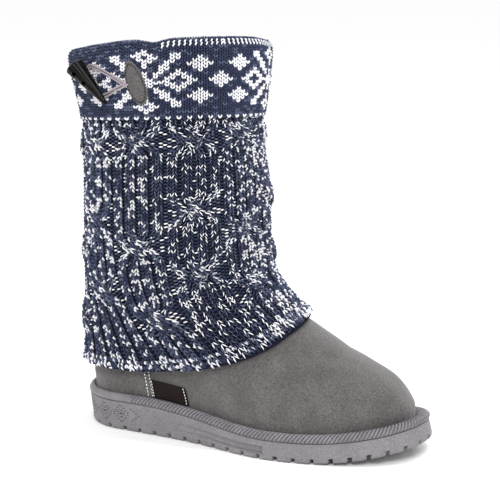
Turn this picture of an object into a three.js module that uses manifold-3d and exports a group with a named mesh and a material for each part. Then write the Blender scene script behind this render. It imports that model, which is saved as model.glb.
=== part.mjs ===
// A mukluk boot for the right foot: a suede foot on a moulded sole, a cable-knit leg over its shaft,
// and a knit cuff folded over the top, with a suede patch, a cord loop and a horn toggle on the outer side.
// Millimetres. +X runs from heel to toe, +Y to the inner side of the foot, +Z up.
import * as THREE from "three";
import { mergeVertices } from "three/addons/utils/BufferGeometryUtils.js";
import Module from "manifold-3d";

const wasm = await Module();
wasm.setup();

// Clearance between pieces that touch
const FIT = 0.3;
// How far a cut runs past what it cuts
const CUT_PAST = 2;

// Sole, seen from above
const SOLE_LENGTH = 264;
const BALL_WIDTH = 103;
const WAIST_WIDTH = 82;
const HEEL_WIDTH = 75;
const TOE_SWING = 7; // how far the toe's tip lies towards the inner side
const SWING_START = 0.45; // share of the length where the swing begins
const TOE_ROUND = 82; // length of the rounded front
const TOE_BLUNTNESS = 2.25; // 2 is an ellipse, more is squarer

// Sole, seen from the side
const HEEL_BLOCK = 21.5;
const FOREFOOT_BLOCK = 13.5;
const BREAST_START = 0.22; // share of the length where the heel begins to slope down to the forefoot
const BREAST_LENGTH = 0.42;
const TOE_SPRING = 11;
const SPRING_START = 0.7; // share of the length where the sole leaves the floor
const EDGE_BEVEL = 2;
const TOE_DRAFT = 2.2; // how far the sole's top lies inside its foot at the toe
const HEEL_FLARE = 1.8; // and outside it at the heel

// Notches round the sole's lower edge, and the bars of its tread
const NOTCH_PITCH = 13.2;
const NOTCH_WIDTH = 2.4;
const NOTCH_HEIGHT = 3.4;
const NOTCH_REACH = 7;
const GROOVE_WIDTH = 3;
const GROOVE_DEPTH = 1.8;
const GROOVE_PITCH = 11;
const TREAD_RIM = 13; // plain rim between the notches and the tread
const TREAD_PATCHES = [
  { from: 0.56, to: 0.9 }, // shares of the length
  { from: 0.09, to: 0.3 },
];

// Side panels of the sole, as shares of its length
const ARCH_PANEL_START = 0.3;
const ARCH_PANEL_END = 0.635;
const ARCH_PANEL_LOW = 5;
const ARCH_PANEL_HIGH = 11.5;
const ARCH_PANEL_DEPTH = 1.5;
const ARCH_PANEL_LEAST = 0.02; // depth at its thin end, towards the heel
const ARCH_PANEL_THIN = 1; // height there

// Welt: the ribbed strip between the sole and the suede
const WELT_HEIGHT = 6;
const WELT_TO_HEEL = 2.4; // from the sole's edge to the upper, at the heel
const WELT_TO_BALL = 7;
const WELT_TO_TOE = 11.5;
const WELT_OVERHANG = 0.5;

// Suede upper
const UPPER_WALL = 2;
const UPPER_TOP = 242; // its shaft ends inside the knit
const SHAFT_LENGTH = 131; // outside, from back to front
const SHAFT_WIDTH = 95;
const SHAFT_BACK = 4; // from the sole's heel
const INSOLE_THICKNESS = 4;

// Knit leg and cuff
const LEG_TOP = 281.5; // where the collar is highest
const LEG_WALL = 3.2;
const HEM_BACK = 45.5; // height of the hem above the floor
const HEM_FRONT = 87;
const HEM_EASE = 2.5; // how far the knit stands off at the back of the hem
const HEM_SKEW = 0.04; // turn by which its highest point lies past the front, towards the inner side
const CABLE_PANELS = 10;
const CABLE_RISE = 2.4;
const CABLE_CROSS_LIFT = 1;
const CABLE_CROSS_LENGTH = 26;
const CABLE_FADE_TOP = 0.05; // share of the leg over which the cables rise below the cuff
const CABLE_FADE_HEM = 0.07; // and over which they sink towards the hem
const CUFF_WALL = 3;
const CUFF_HEIGHT = 50.5; // where the collar is highest
const CUFF_LINING = 2.4;
const CUFF_LINING_DEPTH = 20;
const CUFF_LINING_OVERLAP = 0.5; // how far it runs into the fold
const CUFF_EDGE_DEPTH = 0.8; // bevel of the cuff's lower edge
const CUFF_EDGE_HEIGHT = 1.5;
const CUFF_ROLL = 1.6; // how far the fold stands over the leg's top edge
const FOLD_START = 1; // how far below that edge it starts to turn
const COLLAR_FLARE_BACK = 8; // how far the collar opens
const COLLAR_FLARE_FRONT = 5;
const COLLAR_WAIST = 5; // how far the shaft's front draws in below the cuff
const COLLAR_DIP = 17; // how much lower the collar is at its lowest
const COLLAR_LOW_TURN = 0.9; // where it is lowest
const CUFF_FOLLOWS = 0.6; // share of that dip in the cuff's lower edge

// Side seams and label
const SEAM_ALONG = 0.247; // share of the length
const SEAM_WIDTH = 3;
const SEAM_THICKNESS = 0.7;
const LABEL_LENGTH = 30;
const LABEL_HEIGHT = 13;
const LABEL_THICKNESS = 0.8;

// Toggle, on the cuff's outer side
const PATCH_TURN = 0.258; // where it sits round the cuff
const PATCH_DROP = 28; // of its middle, below the cuff's top
const PATCH_LENGTH = 31;
const PATCH_WIDTH = 14;
const PATCH_THICKNESS = 1.6;
const PATCH_TILT = 18; // degrees
const HORN_AWAY = 32; // from the patch's middle, towards the heel
const HORN_DROP = 25;
const HORN_LENGTH = 36;
const HORN_RADIUS = 6.7;
const HORN_TIP_RADIUS = 1.7;
const HORN_TILT = 42; // degrees
const HORN_LEAN = 5; // degrees, its tip towards the cuff
const HORN_STAND = 8.6; // of its middle, off the cuff
const HORN_HOLE_RADIUS = 2;
const HORN_HOLE_PLACES = [0.18, 0.43]; // shares of the horn's length from its wide end
const CORD_RADIUS = 1.25;

// Mesh density
const SOLE_STEPS = 44;
const LEG_STEPS = CABLE_PANELS * 5;
const LEG_ROWS = 10;
const CUFF_ROWS = 3;
const HORN_STEPS = 14;
const CORD_STEPS = 18;
const CORD_SIDES = 8;

const lerp = (a, b, t) => a + (b - a) * t;
const clamp01 = (t) => Math.min(1, Math.max(0, t));
const smooth = (t) => clamp01(t) ** 2 * (3 - 2 * clamp01(t));

// Reads one column of a table at a value of its key column, with a smooth curve through the rows
function readTable(rows, key, column, at) {
  const last = rows.length - 1;
  let i = 0;
  while (i < last - 1 && at > rows[i + 1][key]) i++;
  const from = rows[i];
  const to = rows[i + 1];
  const slope = (j) => {
    const before = rows[Math.max(0, j - 1)];
    const after = rows[Math.min(last, j + 1)];
    return (after[column] - before[column]) / (after[key] - before[key]);
  };
  const span = to[key] - from[key];
  const t = clamp01((at - from[key]) / span);
  const fromPart = (2 * t ** 3 - 3 * t ** 2 + 1) * from[column];
  const fromSlope = (t ** 3 - 2 * t ** 2 + t) * span * slope(i);
  const toPart = (3 * t ** 2 - 2 * t ** 3) * to[column];
  const toSlope = (t ** 3 - t ** 2) * span * slope(i + 1);
  return fromPart + fromSlope + toPart + toSlope;
}

// The sole's plan: half widths as shares of the width that each row follows
const SOLE_PLAN = [
  { along: 0, width: HEEL_WIDTH, outer: 0.49, inner: 0.49 },
  { along: 0.16, width: HEEL_WIDTH, outer: 0.5, inner: 0.5 },
  { along: 0.4, width: WAIST_WIDTH, outer: 0.51, inner: 0.46 },
  { along: 0.62, width: BALL_WIDTH, outer: 0.515, inner: 0.455 },
  { along: 0.76, width: BALL_WIDTH, outer: 0.5, inner: 0.49 },
  { along: 1, width: BALL_WIDTH, outer: 0.47, inner: 0.47 },
].map((row) => ({ along: row.along, outer: row.outer * row.width, inner: row.inner * row.width }));

function soleHalfWidth(along, side) {
  const fromHeel = along * SOLE_LENGTH;
  const fromToe = SOLE_LENGTH - fromHeel;
  const heelRound = HEEL_WIDTH / 2;
  const heel = Math.sqrt(clamp01(1 - clamp01(1 - fromHeel / heelRound) ** 2));
  const toe = clamp01(1 - clamp01(1 - fromToe / TOE_ROUND) ** TOE_BLUNTNESS) ** (1 / TOE_BLUNTNESS);
  return readTable(SOLE_PLAN, "along", side, along) * heel * toe;
}

// How far the sole's middle line has swung towards the inner side
const midline = (along) => TOE_SWING * smooth((along - SWING_START) / (1 - SWING_START));

// A point on the sole's edge. Turn is 0 at the heel, 0.25 outside, 0.5 at the toe and 0.75 inside.
function soleEdge(turn) {
  const angle = 2 * Math.PI * turn;
  const along = (1 - Math.cos(angle)) / 2;
  const outside = Math.sin(angle) >= 0;
  const half = soleHalfWidth(along, outside ? "outer" : "inner");
  return new THREE.Vector2(along * SOLE_LENGTH, midline(along) + (outside ? -half : half));
}

// Turn where the sole's edge passes a share of its length
const sideTurn = (along, side) => {
  const turn = Math.acos(1 - 2 * along) / (2 * Math.PI);
  return side === "outer" ? turn : 1 - turn;
};

// The same edge moved inwards
function insetEdge(turn, inset) {
  const step = 0.002;
  const along = soleEdge(turn + step).sub(soleEdge(turn - step)).normalize();
  return soleEdge(turn).sub(new THREE.Vector2(along.y, -along.x).multiplyScalar(inset));
}

const spring = (x) => TOE_SPRING * clamp01((x / SOLE_LENGTH - SPRING_START) / (1 - SPRING_START)) ** 2;
const blockTop = (x) =>
  lerp(HEEL_BLOCK, FOREFOOT_BLOCK, smooth((x / SOLE_LENGTH - BREAST_START) / BREAST_LENGTH)) + spring(x);

// The upper's sections, from its lower edge to its top. rise: share of the height. recede: share of the way
// back from the sole's plan to the shaft's. bulge: outwards at the toe, as a share of the sole's length.
// pinch: share by which the instep narrows.
const UPPER_SECTIONS = [
  { rise: 0, recede: 0, bulge: 0, pinch: 0 },
  { rise: 0.032, recede: 0, bulge: 0, pinch: 0 },
  { rise: 0.068, recede: 0.024, bulge: 0.006, pinch: 0 },
  { rise: 0.136, recede: 0.135, bulge: 0.009, pinch: 0.03 },
  { rise: 0.181, recede: 0.295, bulge: 0.008, pinch: 0.05 },
  { rise: 0.217, recede: 0.435, bulge: 0.007, pinch: 0.07 },
  { rise: 0.299, recede: 0.705, bulge: 0.005, pinch: 0.08 },
  { rise: 0.362, recede: 0.855, bulge: 0.003, pinch: 0.06 },
  { rise: 0.43, recede: 0.95, bulge: 0.001, pinch: 0.04 },
  { rise: 0.5, recede: 0.985, bulge: 0, pinch: 0.02 },
  { rise: 0.588, recede: 1, bulge: 0, pinch: 0 },
  { rise: 1.25, recede: 1, bulge: 0, pinch: 0 },
];
const HEEL_BULGE = 0.35; // share of the toe's bulge at the heel

// How far the sole's top and the welt's inner edge lie inside the sole's edge
function wallDraft(x) {
  return lerp(-HEEL_FLARE, TOE_DRAFT, smooth(x / SOLE_LENGTH));
}

function weltInset(x) {
  const along = x / SOLE_LENGTH;
  const ball = lerp(WELT_TO_HEEL, WELT_TO_BALL, smooth((along - 0.1) / 0.5));
  return lerp(ball, WELT_TO_TOE, smooth((along - 0.7) / 0.3));
}

// The upper's lower edge, just inside the welt
const featherEdge = (turn) => insetEdge(turn, weltInset(soleEdge(turn).x) + FIT);

// How far the collar opens at a height, more at the back and the front than at the sides
function collarFlare(turn, z) {
  const back = (1 + Math.cos(2 * Math.PI * (turn - 0.05))) / 2;
  const front = (1 - Math.cos(2 * Math.PI * (turn - 0.05))) / 2;
  const most = COLLAR_FLARE_BACK * back ** 2 + COLLAR_FLARE_FRONT * front ** 2;
  const cuffFoot = LEG_TOP - CUFF_HEIGHT - COLLAR_DIP / 2;
  const waist = COLLAR_WAIST * front ** 2 * smooth((z - cuffFoot + CUFF_HEIGHT) / CUFF_HEIGHT);
  return most * smooth((z - cuffFoot) / CUFF_HEIGHT) - waist;
}

// A point of the upper's outer face, before any offset
function upperSkin(turn, rise) {
  const base = featherEdge(turn);
  const angle = 2 * Math.PI * turn;
  const shaftX = SHAFT_BACK + (SHAFT_LENGTH / 2) * (1 - Math.cos(angle));
  const shaftY = (-SHAFT_WIDTH / 2) * Math.sin(angle);
  const recede = readTable(UPPER_SECTIONS, "rise", "recede", rise);
  const pinch = readTable(UPPER_SECTIONS, "rise", "pinch", rise);
  const frontness = (1 - Math.cos(angle)) / 2;
  const toeBulge = readTable(UPPER_SECTIONS, "rise", "bulge", rise) * SOLE_LENGTH;
  const bulge = toeBulge * lerp(HEEL_BULGE, 1, frontness);
  const foot = blockTop(base.x) + FIT;
  const z = lerp(foot, UPPER_TOP, rise);
  const out = soleEdge(turn).sub(base).normalize();
  const flare = collarFlare(turn, z);
  const x = lerp(base.x, shaftX, recede) + out.x * bulge - Math.cos(angle) * flare;
  const y = lerp(base.y, shaftY, recede) * (1 - pinch) + out.y * bulge - Math.sin(angle) * flare;
  return new THREE.Vector3(x, y, z);
}

// The same point moved along the face's normal, outwards where offset is above 0
function upperPoint(turn, rise, offset) {
  const step = 0.004;
  const point = upperSkin(turn, rise);
  const around = upperSkin(turn + step, rise).sub(upperSkin(turn - step, rise));
  const up = upperSkin(turn, rise + step).sub(upperSkin(turn, Math.max(0, rise - step)));
  const normal = around.cross(up).normalize();
  if (rise === 0) normal.setZ(0).normalize();
  return point.add(normal.multiplyScalar(offset));
}

const riseAt = (turn, z) => {
  const foot = blockTop(featherEdge(turn).x) + FIT;
  return (z - foot) / (UPPER_TOP - foot);
};

// Builds a geometry from rows of points, each row a closed ring, with its two ends closed or joined
function ringLoft(rings, ends) {
  const count = rings[0].length;
  const position = rings.flat().flatMap((p) => [p.x, p.y, p.z]);
  const index = [];
  const at = (r, i) => r * count + (((i % count) + count) % count);
  const rows = ends === "joined" ? rings.length : rings.length - 1;
  for (let r = 0; r < rows; r++) {
    const next = (r + 1) % rings.length;
    for (let i = 0; i < count; i++) {
      index.push(at(r, i), at(r, i + 1), at(next, i + 1));
      index.push(at(r, i), at(next, i + 1), at(next, i));
    }
  }
  if (ends === "ladder") {
    const last = rings.length - 1;
    for (let i = 0; i < count / 2; i++) {
      const [a, b, c, d] = [i, i + 1, count - i - 1, count - i];
      index.push(at(0, a), at(0, c), at(0, b));
      index.push(at(last, a), at(last, b), at(last, c));
      if (i > 0) {
        index.push(at(0, a), at(0, d), at(0, c));
        index.push(at(last, a), at(last, c), at(last, d));
      }
    }
  }
  const geometry = new THREE.BufferGeometry();
  geometry.setAttribute("position", new THREE.Float32BufferAttribute(position, 3));
  geometry.setIndex(index);
  return geometry;
}

const ring = (count, pointAt) => Array.from({ length: count }, (_, i) => pointAt(i / count));

// A closed slab that follows a curved face: pointAt(u, v, w) with u, v and w from 0 to 1
function curvedSlab(uSteps, vSteps, pointAt) {
  const rings = [];
  for (let j = 0; j <= vSteps; j++) {
    const v = j / vSteps;
    const front = Array.from({ length: uSteps + 1 }, (_, i) => pointAt(i / uSteps, v, 1));
    const back = Array.from({ length: uSteps + 1 }, (_, i) => pointAt(1 - i / uSteps, v, 0));
    rings.push([...front, ...back]);
  }
  const geometry = ringLoft(rings, "open");
  const index = [...geometry.index.array];
  const count = 2 * (uSteps + 1);
  const last = vSteps * count;
  for (let i = 0; i < uSteps; i++) {
    const [a, b, c, d] = [i, i + 1, count - 2 - i, count - 1 - i];
    index.push(a, c, b, a, d, c);
    index.push(last + a, last + b, last + c, last + a, last + c, last + d);
  }
  geometry.setIndex(index);
  return geometry;
}

function solidOf(geometry) {
  const bare = geometry.clone();
  bare.deleteAttribute("normal");
  bare.deleteAttribute("uv");
  const merged = mergeVertices(bare, 1e-4);
  const solid = new wasm.Manifold(
    new wasm.Mesh({
      numProp: 3,
      vertProperties: new Float32Array(merged.attributes.position.array),
      triVerts: new Uint32Array(merged.index.array),
    }),
  );
  return solid;
}

function geometryOf(solid) {
  const mesh = solid.getMesh();
  const geometry = new THREE.BufferGeometry();
  geometry.setAttribute("position", new THREE.Float32BufferAttribute(mesh.vertProperties, 3));
  geometry.setIndex([...mesh.triVerts]);
  return geometry;
}

const MATERIALS = {
  sole: new THREE.MeshStandardMaterial({ color: 0x7d7a7b, roughness: 0.75 }),
  welt: new THREE.MeshStandardMaterial({ color: 0x85838c, roughness: 0.6 }),
  suede: new THREE.MeshStandardMaterial({ color: 0x6b6765, roughness: 0.95 }),
  insole: new THREE.MeshStandardMaterial({ color: 0x8a8784, roughness: 1 }),
  knit: new THREE.MeshStandardMaterial({ color: 0x3c4358, roughness: 1 }),
  cuff: new THREE.MeshStandardMaterial({ color: 0x39435f, roughness: 1 }),
  label: new THREE.MeshStandardMaterial({ color: 0x2a2422, roughness: 0.8 }),
  stitching: new THREE.MeshStandardMaterial({ color: 0x8d8986, roughness: 0.9 }),
  cord: new THREE.MeshStandardMaterial({ color: 0x857b80, roughness: 0.8 }),
  horn: new THREE.MeshStandardMaterial({ color: 0x14110f, roughness: 0.25 }),
};

const boot = new THREE.Group();

function addPiece(name, geometry, material) {
  const mesh = new THREE.Mesh(geometry, material);
  mesh.name = name;
  boot.add(mesh);
  return mesh;
}

// Positions round the sole's edge at equal distances, as turns
function evenTurns(pitch) {
  const samples = 720;
  const turns = [];
  let travelled = pitch / 2;
  for (let i = 0; i < samples; i++) {
    travelled += soleEdge((i + 1) / samples).distanceTo(soleEdge(i / samples));
    if (travelled >= pitch) {
      turns.push((i + 1) / samples);
      travelled -= pitch;
    }
  }
  return turns;
}

function notchCutter(turn) {
  const outer = insetEdge(turn, -CUT_PAST);
  const inner = insetEdge(turn, NOTCH_REACH);
  const length = outer.distanceTo(inner);
  const x = soleEdge(turn).x;
  const box = new THREE.BoxGeometry(length, NOTCH_WIDTH, NOTCH_HEIGHT + CUT_PAST);
  const angle = Math.atan2(outer.y - inner.y, outer.x - inner.x);
  box.rotateZ(angle);
  const height = spring(x) + (NOTCH_HEIGHT - CUT_PAST) / 2;
  box.translate((outer.x + inner.x) / 2, (outer.y + inner.y) / 2, height);
  return solidOf(box);
}

// One bar of the tread, across the sole between its rims
function grooveCutter(x) {
  const along = x / SOLE_LENGTH;
  const outer = soleHalfWidth(along, "outer") - TREAD_RIM;
  const inner = soleHalfWidth(along, "inner") - TREAD_RIM;
  const box = new THREE.BoxGeometry(GROOVE_WIDTH, outer + inner, GROOVE_DEPTH + CUT_PAST);
  box.translate(x, midline(along) + (inner - outer) / 2, spring(x) + (GROOVE_DEPTH - CUT_PAST) / 2);
  return solidOf(box);
}

// The tapered recess in the sole's side under the arch
function archCutter(side) {
  return solidOf(
    curvedSlab(10, 1, (u, v, w) => {
      const t = side === "outer" ? u : 1 - u;
      const turn = sideTurn(lerp(ARCH_PANEL_START, ARCH_PANEL_END, t), side);
      const p = insetEdge(turn, lerp(ARCH_PANEL_DEPTH * t + ARCH_PANEL_LEAST, -2 * CUT_PAST, w));
      const high = lerp(ARCH_PANEL_LOW + ARCH_PANEL_THIN, ARCH_PANEL_HIGH, t);
      return new THREE.Vector3(p.x, p.y, lerp(ARCH_PANEL_LOW, high, v));
    }),
  );
}

function makeOutsole() {
  const rows = [
    { share: 0, bevel: 1, draft: 0 },
    { share: 0.12, bevel: 0.1, draft: 0 },
    { share: 0.45, bevel: 0, draft: 0.15 },
    { share: 1, bevel: 0, draft: 1 },
  ];
  const rings = rows.map((row) =>
    ring(SOLE_STEPS, (turn) => {
      const p = insetEdge(turn, row.bevel * EDGE_BEVEL + row.draft * wallDraft(soleEdge(turn).x));
      return new THREE.Vector3(p.x, p.y, lerp(spring(p.x), blockTop(p.x), row.share));
    }),
  );
  let solid = solidOf(ringLoft(rings, "ladder"));
  for (const turn of evenTurns(NOTCH_PITCH)) solid = solid.subtract(notchCutter(turn));
  for (const patch of TREAD_PATCHES) {
    const end = patch.to * SOLE_LENGTH;
    for (let x = patch.from * SOLE_LENGTH; x <= end; x += GROOVE_PITCH) {
      solid = solid.subtract(grooveCutter(x));
    }
  }
  solid = solid.subtract(archCutter("outer")).subtract(archCutter("inner"));
  addPiece("outsole", geometryOf(solid), MATERIALS.sole);
}

function makeWelt() {
  // Section of the strip: share of its width from the outside, overhang, and height over the sole's top
  const section = [
    { across: 1, out: 0, height: FIT },
    { across: 0, out: 0, height: FIT },
    { across: 0, out: WELT_OVERHANG, height: 0.45 * WELT_HEIGHT },
    { across: 0.2, out: 0, height: 0.9 * WELT_HEIGHT },
    { across: 0.55, out: 0, height: WELT_HEIGHT },
    { across: 1, out: 0, height: 0.8 * WELT_HEIGHT },
  ];
  const rings = section.map((corner) =>
    ring(SOLE_STEPS, (turn) => {
      const x = soleEdge(turn).x;
      const p = insetEdge(turn, lerp(wallDraft(x), weltInset(x), corner.across) - corner.out);
      return new THREE.Vector3(p.x, p.y, blockTop(p.x) + corner.height);
    }),
  );
  addPiece("welt", ringLoft(rings, "joined"), MATERIALS.welt);
}

function makeInsole() {
  const rings = [FIT, INSOLE_THICKNESS].map((height) =>
    ring(SOLE_STEPS, (turn) => {
      const p = insetEdge(turn, weltInset(soleEdge(turn).x) + UPPER_WALL + 2 * FIT);
      return new THREE.Vector3(p.x, p.y, blockTop(p.x) + height);
    }),
  );
  addPiece("insole", ringLoft(rings, "ladder"), MATERIALS.insole);
}

const SHAFT_LEVELS = [0.72, 0.84, 0.92, 1];
const LEVELS_ABOVE = [1.04, 1.08, 1.12, 1.22]; // over the upper's top, for what is cut to its face
const FOOT_LEVELS = UPPER_SECTIONS.map((row) => row.rise).filter((rise) => rise < SHAFT_LEVELS[0]);
const UPPER_LEVELS = [...FOOT_LEVELS, ...SHAFT_LEVELS];

function makeUpper() {
  const outside = UPPER_LEVELS.map((rise) => ring(SOLE_STEPS, (turn) => upperPoint(turn, rise, 0)));
  const inside = UPPER_LEVELS.map((rise) => ring(SOLE_STEPS, (turn) => upperPoint(turn, rise, -UPPER_WALL)));
  addPiece("upper", ringLoft([...outside, ...inside.reverse()], "joined"), MATERIALS.suede);
}

// Everything inside a face that lies at an offset from the upper's, up to a little over the boot's top
function insideOf(offset) {
  const levels = [...UPPER_LEVELS, ...LEVELS_ABOVE];
  const rings = levels.map((rise) => ring(SOLE_STEPS, (turn) => upperPoint(turn, rise, offset)));
  return solidOf(ringLoft(rings, "ladder"));
}

// Where each cable panel's strands cross, as shares of the leg's length below the cuff
const CABLE_CROSSINGS = [
  [0.11, 0.53, 0.81],
  [0.12, 0.41, 0.68],
];
const CABLE_STRANDS = { back: 0.42, front: 0.8, halfWidth: 0.19 }; // shares of a panel's width

// How far the knit stands over its ground: two strands of a cable side by side, crossing at some heights
function cableRelief(turn, down) {
  const place = turn * CABLE_PANELS + 1e-6;
  const panel = Math.floor(place);
  const across = place - panel;
  const legLength = LEG_TOP - CUFF_HEIGHT - HEM_BACK;
  const crossings = CABLE_CROSSINGS[panel % 2];
  const sweeps = crossings.map((share) => ((down - share) * legLength) / CABLE_CROSS_LENGTH + 0.5);
  const swaps = sweeps.reduce((sum, sweep) => sum + smooth(sweep), 0);
  const active = Math.max(0, ...sweeps.map((sweep) => Math.sin(Math.PI * clamp01(sweep))));
  const swap = swaps - Math.floor(swaps);
  const over = lerp(CABLE_STRANDS.back, CABLE_STRANDS.front, swap);
  const under = lerp(CABLE_STRANDS.front, CABLE_STRANDS.back, swap);
  const ridge = (centre, rise) =>
    Math.sqrt(clamp01(1 - ((across - centre) / CABLE_STRANDS.halfWidth) ** 2)) * rise;
  const overRidge = ridge(over, CABLE_RISE + CABLE_CROSS_LIFT * active);
  const underRidge = ridge(under, CABLE_RISE * (1 - active / 2));
  return Math.max(overRidge, underRidge);
}

// The hem rises from the heel to the instep. front: share of the way forwards. rise: share of its rise.
const HEM_LINE = [
  { front: 0, rise: 0 },
  { front: 0.14, rise: 0.03 },
  { front: 0.29, rise: 0.19 },
  { front: 0.56, rise: 0.43 },
  { front: 0.74, rise: 0.65 },
  { front: 0.885, rise: 0.86 },
  { front: 1, rise: 1 },
];

function hemHeight(turn) {
  const front = (1 - Math.cos(2 * Math.PI * (turn - HEM_SKEW))) / 2;
  return lerp(HEM_BACK, HEM_FRONT, readTable(HEM_LINE, "front", "rise", front));
}

const dip = (turn) => (COLLAR_DIP * (1 + Math.cos(2 * Math.PI * (turn - COLLAR_LOW_TURN)))) / 2;
const collarTop = (turn) => LEG_TOP - dip(turn);
const cuffBottom = (turn) => LEG_TOP - CUFF_HEIGHT - CUFF_FOLLOWS * dip(turn);
const atHeight = (turn, z, offset) => upperPoint(turn, riseAt(turn, z), offset);

function makeLeg() {
  const face = FIT + LEG_WALL;
  const below = [];
  for (let row = 0; row <= LEG_ROWS; row++) {
    below.push(
      ring(LEG_STEPS, (turn) => {
        const down = 1 - row / LEG_ROWS;
        const fade = smooth(down / CABLE_FADE_TOP) * smooth((1 - down) / CABLE_FADE_HEM);
        const z = lerp(cuffBottom(turn), hemHeight(turn), down);
        const ease = HEM_EASE * smooth(down) * ((1 + Math.cos(2 * Math.PI * turn)) / 2);
        return atHeight(turn, z, face + ease + cableRelief(turn, down) * fade);
      }),
    );
  }
  const behindCuff = [];
  for (let row = 1; row <= CUFF_ROWS; row++) {
    const height = (turn) => lerp(cuffBottom(turn), collarTop(turn), row / CUFF_ROWS);
    behindCuff.push(ring(LEG_STEPS, (turn) => atHeight(turn, height(turn), face)));
  }
  const solid = solidOf(ringLoft([...below, ...behindCuff], "ladder")).subtract(insideOf(FIT));
  addPiece("knit_leg", geometryOf(solid), MATERIALS.knit);
}

const CUFF_BACK = 2 * FIT + LEG_WALL; // the cuff's inner face, over the upper's
const CUFF_FACE = CUFF_BACK + CUFF_WALL;
const FOLD_TOP = FIT + CUFF_ROLL + CUFF_WALL; // the fold's crest, over the leg's top edge
const MOUTH = -CUFF_LINING; // the collar's inner face

function makeCuff() {
  // A ring at a share of the way up the cuff, raised by a height
  const level = (offset, share, height) =>
    ring(LEG_STEPS, (turn) => {
      const z = lerp(cuffBottom(turn), collarTop(turn), share) + height;
      return atHeight(turn, z, offset);
    });
  const column = (offset, rows) =>
    Array.from({ length: rows + 1 }, (_, row) => level(offset, row / rows, 0)).slice(1, -1);
  const band = [
    level(CUFF_FACE - CUFF_EDGE_DEPTH, 0, 0),
    level(CUFF_FACE, 0, CUFF_EDGE_HEIGHT),
    ...column(CUFF_FACE, CUFF_ROWS),
    level(CUFF_FACE, 1, -FOLD_START),
    level(CUFF_FACE - 0.3 * CUFF_WALL, 1, 0.6 * FOLD_TOP),
    level(CUFF_BACK, 1, FOLD_TOP),
  ];
  const legSlot = [
    level(CUFF_BACK, 0, -CUT_PAST),
    ...column(CUFF_BACK, CUFF_ROWS),
    level(CUFF_BACK, 1, FIT),
  ];
  const lining = [
    level(0, 1, -CUFF_LINING_DEPTH),
    level(0, 1, -0.5 * CUFF_LINING_DEPTH),
    level(0, 1, FIT + CUFF_LINING_OVERLAP),
  ];
  const mouth = [
    level(MOUTH, 0, -CUT_PAST),
    ...column(MOUTH, 2),
    level(MOUTH, 1, 0),
    level(MOUTH + 0.2 * CUFF_LINING, 1, 0.5 * FOLD_TOP),
    level(MOUTH + 1.2 * CUFF_LINING, 1, FOLD_TOP + CUFF_WALL),
  ];
  const filled = (rings) => solidOf(ringLoft(rings, "ladder"));
  const solid = filled(band).subtract(filled(legSlot)).add(filled(lining)).subtract(filled(mouth));
  addPiece("knit_cuff", geometryOf(solid), MATERIALS.cuff);
}

// A strip laid on the upper between two places along the sole and two heights over its lower edge
function stripOnUpper(side, from, to, low, high, thickness, uSteps, vSteps) {
  return curvedSlab(uSteps, vSteps, (u, v, w) => {
    const t = side === "outer" ? u : 1 - u;
    const turn = sideTurn(lerp(from, to, t), side);
    const foot = blockTop(featherEdge(turn).x) + FIT;
    return atHeight(turn, foot + lerp(low, high, v), FIT + w * thickness);
  });
}

const SEAM_LOW = WELT_HEIGHT + FIT;
const SEAM_HIGH = HEM_BACK - HEEL_BLOCK - 1;

function makeSeams() {
  const to = SEAM_ALONG + SEAM_WIDTH / SOLE_LENGTH;
  for (const side of ["outer", "inner"]) {
    const strip = stripOnUpper(side, SEAM_ALONG, to, SEAM_LOW, SEAM_HIGH, SEAM_THICKNESS, 2, 3);
    addPiece(`seam_${side}`, strip, MATERIALS.stitching);
  }
}

function makeLabel() {
  const from = SEAM_ALONG + (SEAM_WIDTH + 2 * FIT) / SOLE_LENGTH;
  const to = from + LABEL_LENGTH / SOLE_LENGTH;
  const strip = stripOnUpper("outer", from, to, SEAM_LOW, SEAM_LOW + LABEL_HEIGHT, LABEL_THICKNESS, 6, 2);
  addPiece("side_label", strip, MATERIALS.label);
}

// The cuff's face at the toggle: a point, its direction along the cuff, straight up and out
function cuffFrame(turn, drop) {
  const step = 0.002;
  const z = collarTop(turn) + FOLD_TOP - drop;
  const origin = atHeight(turn, z, CUFF_FACE);
  const along = atHeight(turn + step, z, CUFF_FACE).sub(atHeight(turn - step, z, CUFF_FACE));
  const perTurn = along.length() / (2 * step);
  along.normalize();
  const up = atHeight(turn, z + 1, CUFF_FACE).sub(atHeight(turn, z - 1, CUFF_FACE)).normalize();
  const out = along.clone().cross(up).normalize();
  return { turn, z, origin, along, up, out, perTurn };
}

const patchFrame = cuffFrame(PATCH_TURN, PATCH_DROP);
const hornFrame = cuffFrame(PATCH_TURN - HORN_AWAY / patchFrame.perTurn, HORN_DROP);

// The horn's place: its length along -Y from the middle of its wide end, its holes along X
function placeHorn() {
  const { origin, along, up, out } = hornFrame;
  const tilt = THREE.MathUtils.degToRad(HORN_TILT);
  const lean = THREE.MathUtils.degToRad(HORN_LEAN);
  const flat = along.clone().multiplyScalar(Math.sin(tilt)).addScaledVector(up, -Math.cos(tilt));
  const tipward = flat.clone().multiplyScalar(Math.cos(lean)).addScaledVector(out, -Math.sin(lean));
  const drilled = out.clone().multiplyScalar(Math.cos(lean)).addScaledVector(flat, Math.sin(lean));
  const back = tipward.clone().negate();
  const place = new THREE.Matrix4().makeBasis(drilled, back, drilled.clone().cross(back));
  const wideEnd = origin.clone().addScaledVector(out, HORN_STAND).addScaledVector(back, HORN_LENGTH / 2);
  return place.setPosition(wideEnd);
}

const hornPlace = placeHorn();

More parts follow.
